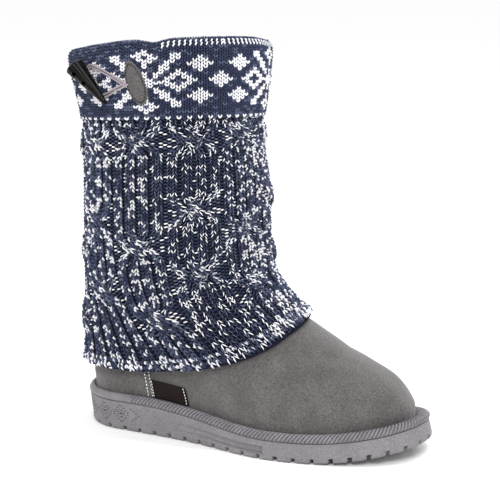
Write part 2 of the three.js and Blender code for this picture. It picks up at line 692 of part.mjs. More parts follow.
function makePatch() {
  const tilt = THREE.MathUtils.degToRad(PATCH_TILT);
  const blunt = 0.965; // the leaf's ends are cut off short of its points
  const leaf = curvedSlab(4, 10, (u, v, w) => {
    const y = (2 * v - 1) * blunt;
    const x = (2 * u - 1) * Math.sqrt(1 - y ** 2) * (PATCH_WIDTH / 2);
    const h = (y * PATCH_LENGTH) / 2;
    const turn = patchFrame.turn + (x * Math.cos(tilt) - h * Math.sin(tilt)) / patchFrame.perTurn;
    const z = patchFrame.z + x * Math.sin(tilt) + h * Math.cos(tilt);
    return atHeight(turn, z, CUFF_FACE + FIT + w * PATCH_THICKNESS);
  });
  addPiece("toggle_patch", leaf, MATERIALS.suede);
}

// The horn: a tapered round piece with flutes along it and two holes drilled through its side
function makeHorn() {
  const profile = [
    { share: 0, radius: 0 },
    { share: 0, radius: 0.82 },
    { share: 0.03, radius: 1 },
    { share: 0.5, radius: 0.5 * (1 + HORN_TIP_RADIUS / HORN_RADIUS) },
    { share: 0.96, radius: HORN_TIP_RADIUS / HORN_RADIUS },
    { share: 1, radius: 0.5 * (HORN_TIP_RADIUS / HORN_RADIUS) },
    { share: 1, radius: 0 },
  ];
  const points = profile.map((p) => new THREE.Vector2(p.radius * HORN_RADIUS, -p.share * HORN_LENGTH));
  let solid = solidOf(new THREE.LatheGeometry(points.reverse(), HORN_STEPS));
  for (const place of HORN_HOLE_PLACES) {
    const drill = new THREE.CylinderGeometry(HORN_HOLE_RADIUS, HORN_HOLE_RADIUS, 4 * HORN_RADIUS, 8);
    drill.rotateZ(Math.PI / 2).translate(0, -place * HORN_LENGTH, 0);
    solid = solid.subtract(solidOf(drill));
  }
  const horn = addPiece("toggle_horn", geometryOf(solid), MATERIALS.horn);
  horn.matrix.copy(hornPlace);
  horn.matrix.decompose(horn.position, horn.quaternion, horn.scale);
}

// The loop's two strands, from the patch's edge to behind the horn, over the cuff's face from the patch's
// middle: along the cuff, up and out. Each then turns into its hole in the horn.
const STRANDS = [
  {
    hole: 0,
    route: [
      { along: -8.4, up: -0.4, out: 2 },
      { along: -17.5, up: 6.5, out: 2 },
      { along: -30, up: 13.2, out: 2 },
      { along: -36.5, up: 14.2, out: 2 },
    ],
  },
  {
    hole: 1,
    route: [
      { along: -8.4, up: -1.2, out: 2 },
      { along: -16, up: -4.4, out: 2 },
      { along: -24.5, up: -8, out: 2.2 },
      { along: -30, up: -5, out: 2.2 },
    ],
  },
];

function makeLoop() {
  const onCuff = (p) =>
    atHeight(patchFrame.turn + p.along / patchFrame.perTurn, patchFrame.z + p.up, CUFF_FACE + p.out);
  const strands = STRANDS.map((strand) => {
    const inHole = (depth) =>
      new THREE.Vector3(depth, -HORN_HOLE_PLACES[strand.hole] * HORN_LENGTH, 0).applyMatrix4(hornPlace);
    const turnIn = [-HORN_RADIUS, -0.5 * HORN_RADIUS, 0.2 * HORN_RADIUS].map(inHole);
    const path = new THREE.CatmullRomCurve3([...strand.route.map(onCuff), ...turnIn], false, "centripetal");
    const section = new THREE.Shape().absarc(0, 0, CORD_RADIUS, 0, 2 * Math.PI);
    const along = { steps: CORD_STEPS, curveSegments: CORD_SIDES / 2, extrudePath: path };
    return solidOf(new THREE.ExtrudeGeometry(section, { ...along, bevelEnabled: false }));
  });
  addPiece("toggle_loop", geometryOf(strands[0].add(strands[1])), MATERIALS.cord);
}

makeOutsole();
makeWelt();
makeInsole();
makeUpper();
makeLeg();
makeCuff();
makeSeams();
makeLabel();
makePatch();
makeHorn();
makeLoop();

// The origin is on the floor, under the middle of the boot's box
const box = new THREE.Box3().setFromObject(boot);
const middle = box.getCenter(new THREE.Vector3());
boot.position.set(-middle.x, -middle.y, -box.min.z);

export default boot;
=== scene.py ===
import math

import bpy
import numpy as np
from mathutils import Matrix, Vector


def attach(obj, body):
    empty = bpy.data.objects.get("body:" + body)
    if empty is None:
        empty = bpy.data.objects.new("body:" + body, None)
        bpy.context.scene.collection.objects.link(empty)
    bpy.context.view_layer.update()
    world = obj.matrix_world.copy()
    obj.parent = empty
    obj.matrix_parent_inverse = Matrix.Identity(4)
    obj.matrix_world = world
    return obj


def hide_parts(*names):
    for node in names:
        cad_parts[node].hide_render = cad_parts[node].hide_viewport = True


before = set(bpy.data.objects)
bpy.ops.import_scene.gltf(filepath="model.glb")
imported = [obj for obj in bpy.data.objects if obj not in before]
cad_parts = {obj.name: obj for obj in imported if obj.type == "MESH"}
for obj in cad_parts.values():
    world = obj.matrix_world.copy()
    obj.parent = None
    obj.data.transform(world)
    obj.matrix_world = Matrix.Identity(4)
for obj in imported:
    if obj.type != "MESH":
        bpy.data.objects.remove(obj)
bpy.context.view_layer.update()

HEEL_TO_ORIGIN = 126.969
MIDLINE_SHIFT = 7.812
FIT = 0.3

# Sole
SOLE_LENGTH = 264.0
BALL_WIDTH = 103.0
WAIST_WIDTH = 82.0
HEEL_WIDTH = 75.0
TOE_SWING = 7.0
SWING_START = 0.45
TOE_ROUND = 82.0
TOE_BLUNTNESS = 2.25
HEEL_BLOCK = 21.5
FOREFOOT_BLOCK = 13.5
BREAST_START = 0.22
BREAST_LENGTH = 0.42
TOE_SPRING = 11.0
SPRING_START = 0.7
EDGE_BEVEL = 2.0
DRAFT_START = 0.3
TOE_DRAFT = 2.2
HEEL_FLARE = 1.8
NOTCH_PITCH = 13.2
NOTCH_WIDTH = 2.4
NOTCH_HEIGHT = 3.4
NOTCH_REACH = 5.0
NOTCH_SOFT = 0.35
NOTCH_SHOULDER = NOTCH_HEIGHT - 0.4
NOTCH_ROUND = 0.6
GROOVE_PITCH = 11.0
GROOVE_WIDTH = 3.0
GROOVE_DEPTH = 1.8
GROOVE_SOFT = 0.4
TREAD_RIM = 13.0
TREAD_START = TREAD_RIM - 2
TREAD_PATCHES = ((0.08, 0.31), (0.55, 0.92))
ARCH_START = 0.3
ARCH_END = 0.632
ARCH_GROWTH = 0.33
ARCH_DEPTH = 1.9
ARCH_GROOVES = ((0.3, 0.42), (0.5, 0.66))

# Welt
WELT_HEIGHT = 6.0
WELT_TO_HEEL = 2.4
WELT_TO_BALL = 7.0
WELT_TO_TOE = 11.5
ROPE_PITCH = 2.9
ROPE_SLANT = 2.4
# Below this share of the rope's height a face gets the darker rubber, painted shade in the groove
ROPE_SHADE_BELOW = 0.5

# Upper and shaft
UPPER_WALL = 2.0
UPPER_TOP = 242.0
SHAFT_LENGTH = 131.0
SHAFT_WIDTH = 95.0
SHAFT_BACK = 4.0
HEEL_BULGE = 0.35

# Knit
LEG_TOP = 281.5
LEG_WALL = 3.2
HEM_BACK = 45.5
HEM_FRONT = 87.0
HEM_EASE = 2.5
HEM_SKEW = 0.04
CABLE_PANELS = 10
CABLE_RISE = 2.4
CABLE_CROSS_LENGTH = 26.0
CUFF_WALL = 3.0
CUFF_HEIGHT = 50.5
CUFF_LINING = 2.4
CUFF_ROLL = 1.6
COLLAR_FLARE_BACK = 8.0
COLLAR_FLARE_FRONT = 5.0
COLLAR_WAIST = 5.0
COLLAR_DIP = 17.0
COLLAR_LOW_TURN = 0.9
CUFF_FOLLOWS = 0.6
CUFF_BACK = 2 * FIT + LEG_WALL
CUFF_FACE = CUFF_BACK + CUFF_WALL
FOLD_TOP = FIT + CUFF_ROLL + CUFF_WALL
MOUTH = -CUFF_LINING

# Seams and label
SEAM_ALONG = 0.247
SEAM_WIDTH = 3.0
LABEL_LENGTH = 30.0
LABEL_HEIGHT = 13.0

# Toggle
PATCH_TURN = 0.258
PATCH_DROP = 28.0
PATCH_LENGTH = 31.0
PATCH_WIDTH = 14.0
PATCH_TILT = 18.0
PATCH_STITCHES = 34
HORN_AWAY = 32.0
HORN_DROP = 25.0
HORN_LENGTH = 36.0
HORN_RADIUS = 6.7
HORN_TIP_RADIUS = 1.7
HORN_TILT = 42.0
HORN_LEAN = 5.0
HORN_STAND = 8.6
HORN_FLUTES = 9
HORN_HOLE_RADIUS = 2.0
HORN_HOLE_PLACES = (0.18, 0.43)

# Knitting gauge
PANEL_WALES = 8
LEG_WALES = CABLE_PANELS * PANEL_WALES
LEG_ROWS = 70
CUFF_WALES = 112
CUFF_CHART_ROWS = 23

TAU = 2 * math.pi
TURN_STEP = 0.002
rng = np.random.default_rng(7)


def lerp(a, b, t):
    return a + (b - a) * t


def clamp01(t):
    return np.clip(t, 0.0, 1.0)


def smooth(t):
    c = clamp01(t)
    return c * c * (3 - 2 * c)


def unit(vectors):
    """The vectors of the last axis, each one long."""
    return vectors / np.linalg.norm(vectors, axis=-1, keepdims=True)


def read_table(keys, values, at):
    """A smooth curve through the table's rows, read at each place."""
    at = np.asarray(at, float)
    last = len(keys) - 1
    i = np.clip(np.searchsorted(keys, at, side="left") - 1, 0, last - 1)
    slopes = np.empty(len(keys))
    for j in range(len(keys)):
        before, after = max(0, j - 1), min(last, j + 1)
        slopes[j] = (values[after] - values[before]) / (keys[after] - keys[before])
    span = keys[i + 1] - keys[i]
    t = clamp01((at - keys[i]) / span)
    a = 2 * t**3 - 3 * t**2 + 1
    b = t**3 - 2 * t**2 + t
    c = 3 * t**2 - 2 * t**3
    d = t**3 - t**2
    return a * values[i] + b * span * slopes[i] + c * values[i + 1] + d * span * slopes[i + 1]


# The sole's plan: share along, the width each row follows, and the outer and inner halves' shares of it
SOLE_PLAN = (
    (0.0, HEEL_WIDTH, 0.49, 0.49),
    (0.16, HEEL_WIDTH, 0.5, 0.5),
    (0.4, WAIST_WIDTH, 0.51, 0.46),
    (0.62, BALL_WIDTH, 0.515, 0.455),
    (0.76, BALL_WIDTH, 0.5, 0.49),
    (1.0, BALL_WIDTH, 0.47, 0.47),
)


def sole_half_width(along, side):
    from_heel = along * SOLE_LENGTH
    from_toe = SOLE_LENGTH - from_heel
    round_heel = HEEL_WIDTH / 2
    heel = np.sqrt(clamp01(1 - clamp01(1 - from_heel / round_heel) ** 2))
    toe = clamp01(1 - clamp01(1 - from_toe / TOE_ROUND) ** TOE_BLUNTNESS) ** (1 / TOE_BLUNTNESS)
    keys, width, outer, inner = np.array(SOLE_PLAN).T
    half = read_table(keys, width * (outer if side == "outer" else inner), along)
    return half * heel * toe


def midline(along):
    """How far the sole swings to the inner side at a share of its length."""
    return TOE_SWING * smooth((along - SWING_START) / (1 - SWING_START))


def sole_edge(turn):
    angle = TAU * np.asarray(turn, float)
    along = (1 - np.cos(angle)) / 2
    outside = np.sin(angle) >= 0
    half = np.where(outside, -sole_half_width(along, "outer"), sole_half_width(along, "inner"))
    return np.stack([along * SOLE_LENGTH, midline(along) + half], -1)


def inset_edge(turn, inset):
    along = unit(sole_edge(turn + TURN_STEP) - sole_edge(turn - TURN_STEP))
    inwards = -np.stack([along[..., 1], -along[..., 0]], -1)
    return sole_edge(turn) + inwards * np.asarray(inset)[..., None]


def spring(x):
    return TOE_SPRING * clamp01((x / SOLE_LENGTH - SPRING_START) / (1 - SPRING_START)) ** 2


def block_top(x):
    breast = smooth((x / SOLE_LENGTH - BREAST_START) / BREAST_LENGTH)
    return lerp(HEEL_BLOCK, FOREFOOT_BLOCK, breast) + spring(x)


def wall_draft(x):
    return lerp(-HEEL_FLARE, TOE_DRAFT, smooth(x / SOLE_LENGTH))


def welt_inset(x):
    along = x / SOLE_LENGTH
    ball = lerp(WELT_TO_HEEL, WELT_TO_BALL, smooth((along - 0.1) / 0.5))
    return lerp(ball, WELT_TO_TOE, smooth((along - 0.7) / 0.3))


def feather_edge(turn):
    return inset_edge(turn, welt_inset(sole_edge(turn)[..., 0]) + FIT)


# The upper's sections: rise, recede, bulge and pinch, as in the part
UPPER_SECTIONS = (
    (0.0, 0.0, 0.0, 0.0),
    (0.032, 0.0, 0.0, 0.0),
    (0.068, 0.024, 0.006, 0.0),
    (0.136, 0.135, 0.009, 0.03),
    (0.181, 0.295, 0.008, 0.05),
    (0.217, 0.435, 0.007, 0.07),
    (0.299, 0.705, 0.005, 0.08),
    (0.362, 0.855, 0.003, 0.06),
    (0.43, 0.95, 0.001, 0.04),
    (0.5, 0.985, 0.0, 0.02),
    (0.588, 1.0, 0.0, 0.0),
    (1.25, 1.0, 0.0, 0.0),
)


def upper_column(column, rise):
    sections = np.array(UPPER_SECTIONS).T
    return read_table(sections[0], sections[column], rise)


def collar_flare(turn, z):
    back = (1 + np.cos(TAU * (turn - 0.05))) / 2
    front = (1 - np.cos(TAU * (turn - 0.05))) / 2
    most = COLLAR_FLARE_BACK * back**2 + COLLAR_FLARE_FRONT * front**2
    cuff_foot = LEG_TOP - CUFF_HEIGHT - COLLAR_DIP / 2
    waist = COLLAR_WAIST * front**2 * smooth((z - cuff_foot + CUFF_HEIGHT) / CUFF_HEIGHT)
    return most * smooth((z - cuff_foot) / CUFF_HEIGHT) - waist


def upper_skin(turn, rise):
    turn, rise = np.broadcast_arrays(np.asarray(turn, float), np.asarray(rise, float))
    base = feather_edge(turn)
    angle = TAU * turn
    shaft_x = SHAFT_BACK + (SHAFT_LENGTH / 2) * (1 - np.cos(angle))
    shaft_y = (-SHAFT_WIDTH / 2) * np.sin(angle)
    recede = upper_column(1, rise)
    frontness = (1 - np.cos(angle)) / 2
    bulge = upper_column(2, rise) * SOLE_LENGTH * lerp(HEEL_BULGE, 1, frontness)
    pinch = upper_column(3, rise)
    foot = block_top(base[..., 0]) + FIT
    z = lerp(foot, UPPER_TOP, rise)
    out = unit(sole_edge(turn) - base)
    flare = collar_flare(turn, z)
    x = lerp(base[..., 0], shaft_x, recede) + out[..., 0] * bulge - np.cos(angle) * flare
    y = lerp(base[..., 1], shaft_y, recede) * (1 - pinch) + out[..., 1] * bulge - np.sin(angle) * flare
    return np.stack([x, y, z], -1)


def upper_normal(turn, rise):
    step = 0.004
    around = upper_skin(turn + step, rise) - upper_skin(turn - step, rise)
    up = upper_skin(turn, rise + step) - upper_skin(turn, np.maximum(0, rise - step))
    return unit(np.cross(around, up))


def upper_point(turn, rise, offset):
    return upper_skin(turn, rise) + upper_normal(turn, rise) * np.asarray(offset)[..., None]


def rise_at(turn, z):
    foot = block_top(feather_edge(turn)[..., 0]) + FIT
    return (z - foot) / (UPPER_TOP - foot)


def at_height(turn, z, offset):
    turn, z, offset = np.broadcast_arrays(*[np.asarray(v, float) for v in (turn, z, offset)])
    return upper_point(turn, rise_at(turn, z), offset)


# The hem's line: share of the way forwards and share of its rise
HEM_LINE = ((0, 0), (0.14, 0.03), (0.29, 0.19), (0.56, 0.43), (0.74, 0.65), (0.885, 0.86), (1, 1))


def hem_height(turn):
    front = (1 - np.cos(TAU * (turn - HEM_SKEW))) / 2
    return lerp(HEM_BACK, HEM_FRONT, read_table(*np.array(HEM_LINE).T, front))


def collar_dip(turn):
    return COLLAR_DIP * (1 + np.cos(TAU * (turn - COLLAR_LOW_TURN))) / 2


# Soft waves of the folded edge: where round the collar, how wide and how high
COLLAR_WAVES = (
    (0.235, 0.03, 0.6), (0.285, 0.018, -2.2), (0.12, 0.05, -1.0), (0.53, 0.03, -1.4), (0.7, 0.06, 1.6),
)


def collar_wave(turn):
    total = np.zeros_like(np.asarray(turn, float))
    for centre, width, height in COLLAR_WAVES:
        away = (turn - centre + 0.5) % 1 - 0.5
        total = total + height * np.exp(-((away / width) ** 2))
    return total


def collar_top(turn):
    return LEG_TOP - collar_dip(turn)


def cuff_bottom(turn):
    return LEG_TOP - CUFF_HEIGHT - CUFF_FOLLOWS * collar_dip(turn)


# Meshes
def to_row(points):
    return (np.asarray(points, float) + np.array([-HEEL_TO_ORIGIN, MIDLINE_SHIFT, 0.0])) / 1000


def add_mesh(name, points, faces, materials, indices=None, node=None, flat=False):
    mesh = bpy.data.meshes.new(name)
    mesh.from_pydata(to_row(points).tolist(), [], [list(map(int, f)) for f in faces])
    mesh.update()
    obj = bpy.data.objects.new(name, mesh)
    bpy.context.collection.objects.link(obj)
    for material in materials:
        mesh.materials.append(material)
    if indices is not None:
        mesh.polygons.foreach_set("material_index", np.asarray(indices, np.int32))
    if not flat:
        mesh.polygons.foreach_set("use_smooth", np.ones(len(mesh.polygons), bool))
    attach(obj, "root")
    if node:
        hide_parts(node)
    return obj


def grid_faces(rows, columns, wrap_columns=True, wrap_rows=False, start=0):
    r = np.arange(rows if wrap_rows else rows - 1)
    c = np.arange(columns if wrap_columns else columns - 1)
    rr, cc = np.meshgrid(r, c, indexing="ij")
    nr, nc = (rr + 1) % rows, (cc + 1) % columns
    quads = np.stack([rr * columns + cc, rr * columns + nc, nr * columns + nc, nr * columns + cc], -1)
    return quads.reshape(-1, 4) + start


def tube_faces(rings, sides, start=0):
    """Faces of a closed tube: its wall, and an end across its first and its last ring."""
    last = start + (rings - 1) * sides
    ends = [[start + k for k in range(sides)][::-1], [last + k for k in range(sides)]]
    return grid_faces(rings, sides, start=start).tolist() + ends


def ladder(ring_start, count, flip):
    """Faces that close a ring straight across, from one side to the other."""
    faces = []
    for i in range(count // 2):
        a, b, c, d = i, i + 1, count - i - 1, (count - i) % count
        face = [a, d, c, b] if i > 0 else [a, c, b]
        if b == c:
            face = [a, d, b]
        faces.append([ring_start + v for v in (face[::-1] if flip else face)])
    return faces


# Materials
def new_material(name, color, roughness, **inputs):
    material = bpy.data.materials.new(name)
    material.use_nodes = True
    tree = material.node_tree
    shader = tree.nodes["Principled BSDF"]
    shader.inputs["Base Color"].default_value = (*color, 1)
    shader.inputs["Roughness"].default_value = roughness
    for key, value in inputs.items():
        shader.inputs[key.replace("_", " ")].default_value = value
    return material


def add_node(tree, kind, **values):
    node = tree.nodes.new(kind)
    for key, value in values.items():
        name = key.replace("_", " ")
        if name in node.inputs:
            node.inputs[name].default_value = value
        else:
            setattr(node, key, value)
    return node


def noise(tree, scale, detail=4.0, rough=0.6, stretch=None):
    coords = add_node(tree, "ShaderNodeTexCoord")
    node = add_node(tree, "ShaderNodeTexNoise", Scale=scale, Detail=detail, Roughness=rough)
    place = coords.outputs["Object"]
    if stretch:
        mapping = add_node(tree, "ShaderNodeMapping", Scale=stretch)
        tree.links.new(place, mapping.inputs["Vector"])
        place = mapping.outputs["Vector"]
    tree.links.new(place, node.inputs["Vector"])
    return node


def tint_by_noise(material, scale, dark, light, low=0.35, high=0.65, detail=4.0):
    """The base colour runs from dark to light with a noise."""
    tree = material.node_tree
    source = noise(tree, scale, detail)
    ramp = add_node(tree, "ShaderNodeValToRGB")
    for element, position, color in zip(ramp.color_ramp.elements, (low, high), (dark, light)):
        element.position = position
        element.color = (*color, 1)
    tree.links.new(source.outputs["Fac"], ramp.inputs["Fac"])
    tree.links.new(ramp.outputs["Color"], tree.nodes["Principled BSDF"].inputs["Base Color"])


def shade_by_noise(material, scale, dark, low=0.35, high=0.65):
    """Large soft patches over the base colour, which is multiplied by dark where the noise is low."""
    tree = material.node_tree
    base = tree.nodes["Principled BSDF"].inputs["Base Color"]
    source = noise(tree, scale, 3)
    ramp = add_node(tree, "ShaderNodeMapRange", From_Min=low, From_Max=high, To_Min=dark, To_Max=1.0)
    mix = add_node(tree, "ShaderNodeMix", data_type="RGBA", blend_type="MULTIPLY", Factor=1.0)
    tree.links.new(base.links[0].from_socket, mix.inputs[6])
    tree.links.new(source.outputs["Fac"], ramp.inputs["Value"])
    tree.links.new(ramp.outputs["Result"], mix.inputs[7])
    tree.links.new(mix.outputs[2], base)


def bump_by_noise(material, scale, strength, distance, detail=5.0, stretch=None):
    tree = material.node_tree
    source = noise(tree, scale, detail, 0.65, stretch)
    bump = add_node(tree, "ShaderNodeBump", Strength=strength, Distance=distance)
    shader = tree.nodes["Principled BSDF"]
    tree.links.new(source.outputs["Fac"], bump.inputs["Height"])
    if shader.inputs["Normal"].is_linked:
        tree.links.new(shader.inputs["Normal"].links[0].from_socket, bump.inputs["Normal"])
    tree.links.new(bump.outputs["Normal"], shader.inputs["Normal"])


SUEDE_DARK = (0.044, 0.04, 0.041)
SUEDE_LIGHT = (0.142, 0.131, 0.13)
SOLE_GREY = (0.18, 0.168, 0.18)
WELT_GREY = (0.12, 0.113, 0.125)

NAPPED = {"Sheen_Weight": 0.3, "Sheen_Roughness": 0.5, "Specular_IOR_Level": 0.2}
WOOLLY = {"Sheen_Weight": 0.06, "Sheen_Roughness": 0.5, "Specular_IOR_Level": 0.15}

suede = new_material("suede", SUEDE_LIGHT, 0.95, **NAPPED)
tint_by_noise(suede, 950, SUEDE_DARK, SUEDE_LIGHT, 0.28, 0.64, 12)
shade_by_noise(suede, 45, 0.74)
bump_by_noise(suede, 900, 0.6, 0.0006, 8)
bump_by_noise(suede, 140, 0.2, 0.0006, 3)
lining = new_material("fleece_lining", (0.3, 0.29, 0.3), 1.0)
bump_by_noise(lining, 420, 0.9, 0.0015, 6)
sole_shadow = new_material("sole_shadow", (0.055, 0.05, 0.055), 0.9)
sole_rubber = new_material("sole_rubber", SOLE_GREY, 0.55, Specular_IOR_Level=0.3)
tint_by_noise(sole_rubber, 900, (0.14, 0.13, 0.141), (0.235, 0.222, 0.237), 0.32, 0.66, 10)
shade_by_noise(sole_rubber, 60, 0.86)
bump_by_noise(sole_rubber, 1100, 0.35, 0.0004, 6)
welt_rubber = new_material("welt_rubber", WELT_GREY, 0.42, Specular_IOR_Level=0.45)
tint_by_noise(welt_rubber, 90, (0.12, 0.113, 0.126), (0.2, 0.19, 0.207), 0.3, 0.7, 4)
# Painted shade: a darker rubber for the faces deep in the welt rope's grooves
welt_groove_shade = new_material("welt_groove_shade", (0.05, 0.047, 0.054), 0.7)


def yarn(name, dark, light):
    material = new_material(name, light, 0.95, **WOOLLY)
    tint_by_noise(material, 700, dark, light, 0.3, 0.7, 5)
    bump_by_noise(material, 1600, 0.6, 0.0006, 4)
    return material


navy_yarn = yarn("navy_yarn", (0.018, 0.023, 0.052), (0.046, 0.058, 0.113))
slate_yarn = yarn("slate_yarn", (0.06, 0.072, 0.128), (0.12, 0.14, 0.222))
white_yarn = yarn("white_yarn", (0.73, 0.73, 0.79), (0.96, 0.96, 0.98))
knit_shadow = new_material("knit_shadow", (0.008, 0.01, 0.02), 1.0, Specular_IOR_Level=0.1)
tint_by_noise(knit_shadow, 500, (0.005, 0.006, 0.012), (0.014, 0.017, 0.032))
thread_pale = new_material("pale_thread", (0.82, 0.81, 0.8), 0.8)
thread_dark = new_material("dark_thread", (0.012, 0.011, 0.012), 0.8)
label_tape = new_material("label_tape", (0.013, 0.009, 0.008), 0.9, Specular_IOR_Level=0.1)
bump_by_noise(label_tape, 2500, 0.4, 0.0002, 2, (1, 1, 4))
horn_black = new_material("polished_horn", (0.003, 0.0026, 0.003), 0.08, Specular_IOR_Level=0.1)
tint_by_noise(horn_black, 120, (0.002, 0.002, 0.002), (0.008, 0.007, 0.007), 0.4, 0.85, 5)
horn_bore = new_material("horn_bore", (0.012, 0.006, 0.005), 0.6)
cord_mauve = new_material("mauve_cord", (0.29, 0.255, 0.275), 0.5, Specular_IOR_Level=0.4)
bump_by_noise(cord_mauve, 2200, 0.5, 0.0003, 3)


# Sole
EDGE_SAMPLES = 4001


def side_turn(along, side):
    turn = np.arccos(1 - 2 * np.asarray(along, float)) / TAU
    return turn if side == "outer" else 1 - turn


def arc_places(count):
    """Turns at equal distances round the sole's edge, these distances from the heel, and the whole length."""
    turns = np.linspace(0, 1, EDGE_SAMPLES)
    points = sole_edge(turns)
    travelled = np.concatenate([[0], np.cumsum(np.linalg.norm(np.diff(points, axis=0), axis=1))])
    places = np.linspace(0, travelled[-1], count, endpoint=False)
    return np.interp(places, travelled, turns), places, travelled[-1]


def box_mask(value, half, edge):
    """1 within half of 0, falling to 0 over edge."""
    return smooth((half + edge - np.abs(value)) / edge)


def nearest_of(value, pitch):
    """Distance to the nearest of a row of places, a pitch apart."""
    return (value + pitch / 2) % pitch - pitch / 2


def draft_share(share):
    """How much of the wall's draft is reached at a share of its height."""
    return clamp01((share - DRAFT_START) / (1 - DRAFT_START))


# The heel panel's dashed diamonds and arrow, on the outer side, in distances along the foot and up
DIAMOND_CORNERS = ((1, 0), (0, 1), (-1, 0), (0, -1), (1, 0))
DIAMOND_PLACES = (13.2, 28.0, 42.8)
DIAMOND_RINGS = ((1.0, 4), (0.5, 2), (0.1, 1))  # share of the size, and dashes on a side
DIAMOND_HALF_LENGTH = 6.6
DIAMOND_HALF_HEIGHT = 6.8
DIAMOND_MIDDLE = 12.8
ARROW_START = 52.0
ARROW_STEPS = 4
ARROW_STEP = 2.0
ARROW_RISE = 1.5
DASH_LENGTH = 1.7
DASH_HEIGHT = 0.75
DASH_STAND = 0.05  # out of the wall
DASH_LEAST = 0.8  # no dash is nearer to the heel's back
DASH_OUTLINE = (
    (-0.5, -0.25), (-0.35, -0.5), (0.35, -0.5), (0.5, -0.25),
    (0.5, 0.25), (0.35, 0.5), (-0.35, 0.5), (-0.5, 0.25),
)


def heel_dashes():
    """Places of the moulded dashes on the heel's outer side: along the foot and up."""
    dashes = []
    for centre in DIAMOND_PLACES:
        for size, count in DIAMOND_RINGS:
            for a, b in zip(DIAMOND_CORNERS, DIAMOND_CORNERS[1:]):
                for i in range(count):
                    f = (i + 0.5) / count
                    x = centre + lerp(a[0], b[0], f) * DIAMOND_HALF_LENGTH * size
                    if x > DASH_LEAST:
                        dashes.append((x, DIAMOND_MIDDLE + lerp(a[1], b[1], f) * DIAMOND_HALF_HEIGHT * size))
    for step in range(ARROW_STEPS):
        for side in (-1, 1):
            rise = side * (ARROW_STEPS - 1 - step) * ARROW_RISE
            dashes.append((ARROW_START + ARROW_STEP * step, DIAMOND_MIDDLE + rise))
    return dashes


def make_heel_dashes():
    points, faces = [], []
    for along, height in heel_dashes():
        faces.append([len(points) + k for k in range(len(DASH_OUTLINE))])
        for dx, dz in DASH_OUTLINE:
            x = along + dx * DASH_LENGTH
            z = height + dz * DASH_HEIGHT
            draft = draft_share(z / block_top(x)) * wall_draft(x)
            p = inset_edge(side_turn(x / SOLE_LENGTH, "outer"), np.asarray(draft - DASH_STAND))
            points.append([p[0], p[1], z])
    add_mesh("heel_dashes", points, faces, [sole_shadow], flat=True)


def notch_mask(place):
    return box_mask(nearest_of(place, NOTCH_PITCH), NOTCH_WIDTH / 2, NOTCH_SOFT)


def sole_relief(turn, place, z):
    """How far the notches and the arch grooves sink the wall at each point."""
    x = sole_edge(turn)[..., 0]
    above = z - spring(x)
    sunk = notch_mask(place) * box_mask(np.maximum(above, 0), NOTCH_SHOULDER, NOTCH_ROUND) * NOTCH_REACH
    along = x / SOLE_LENGTH
    within = smooth((along - ARCH_START) / 0.02) * smooth((ARCH_END - along) / 0.003)
    deep = clamp01((along - ARCH_START) / ARCH_GROWTH)
    height = block_top(x) - spring(x)
    for low, high in ARCH_GROOVES:
        half = (high - low) / 2 * lerp(0.35, 1.0, deep)
        groove = box_mask(above / height - (low + high) / 2, half, 0.03)
        sunk = sunk + within * deep * ARCH_DEPTH * groove
    return sunk


SOLE_COLUMNS = 1240
SOLE_WALL_ROWS = 34
SOLE_BOTTOM_ROWS = 14
SPINE_FROM_HEEL = 30
SPINE_FROM_TOE = 40
BEVEL_TOP = 0.12  # share of the wall's height
SHADED_DEPTH = 2.2  # notches and grooves that are deeper lie in shadow


def make_outsole():
    turn, place, _ = arc_places(SOLE_COLUMNS)
    x = sole_edge(turn)[..., 0]
    wall, wall_shade, bottom, bottom_shade = [], [], [], []
    for share in (0.0, *np.linspace(0.02, 1, SOLE_WALL_ROWS)):
        bevel = max(0.0, 1 - share / BEVEL_TOP) ** 2
        inset = bevel * EDGE_BEVEL + draft_share(share) * wall_draft(x)
        p = inset_edge(turn, inset)
        z = lerp(spring(p[..., 0]), block_top(p[..., 0]), share)
        sunk = sole_relief(turn, place, z)
        wall.append(np.column_stack([inset_edge(turn, inset + sunk), z]))
        wall_shade.append(sunk > SHADED_DEPTH)
    # The underside runs in from the edge to the sole's middle line, with the bars of its tread
    edge = inset_edge(turn, np.full(SOLE_COLUMNS, EDGE_BEVEL))
    spine_x = np.clip(x, SPINE_FROM_HEEL, SOLE_LENGTH - SPINE_FROM_TOE)
    spine = np.column_stack([spine_x, midline(spine_x / SOLE_LENGTH)])
    for t in np.linspace(1, 0.02, SOLE_BOTTOM_ROWS):
        p = lerp(edge, spine, t)
        inwards = np.linalg.norm(p - edge, axis=1)
        notch = notch_mask(place) * smooth(NOTCH_REACH - inwards)
        along = p[:, 0] / SOLE_LENGTH
        treaded = sum((along > start) & (along < end) for start, end in TREAD_PATCHES)
        bar = box_mask(nearest_of(p[:, 0], GROOVE_PITCH), GROOVE_WIDTH / 2, GROOVE_SOFT)
        tread = bar * smooth(inwards - TREAD_START) * treaded
        bottom.append(np.column_stack([p, spring(p[:, 0]) + notch * NOTCH_HEIGHT + tread * GROOVE_DEPTH]))
        bottom_shade.append(notch > 0.4)
    rings = bottom + wall
    faces = grid_faces(len(rings), SOLE_COLUMNS)
    shaded = np.concatenate(bottom_shade + wall_shade)[faces].mean(1) > 0.6
    faces = faces.tolist() + ladder(0, SOLE_COLUMNS, False)
    faces += ladder((len(rings) - 1) * SOLE_COLUMNS, SOLE_COLUMNS, True)
    indices = np.concatenate([shaded, np.zeros(len(faces) - len(shaded), bool)])
    materials = [sole_rubber, sole_shadow]
    add_mesh("sole_unit", np.concatenate(rings), faces, materials, indices, node="outsole")


WELT_COLUMNS = 2000
ROPE_HEIGHT = 0.6
ROPE_AT_HEEL = 0.25  # share of its height
ROPE_GROWS_FROM = 0.12
ROPE_GROWTH = 0.2
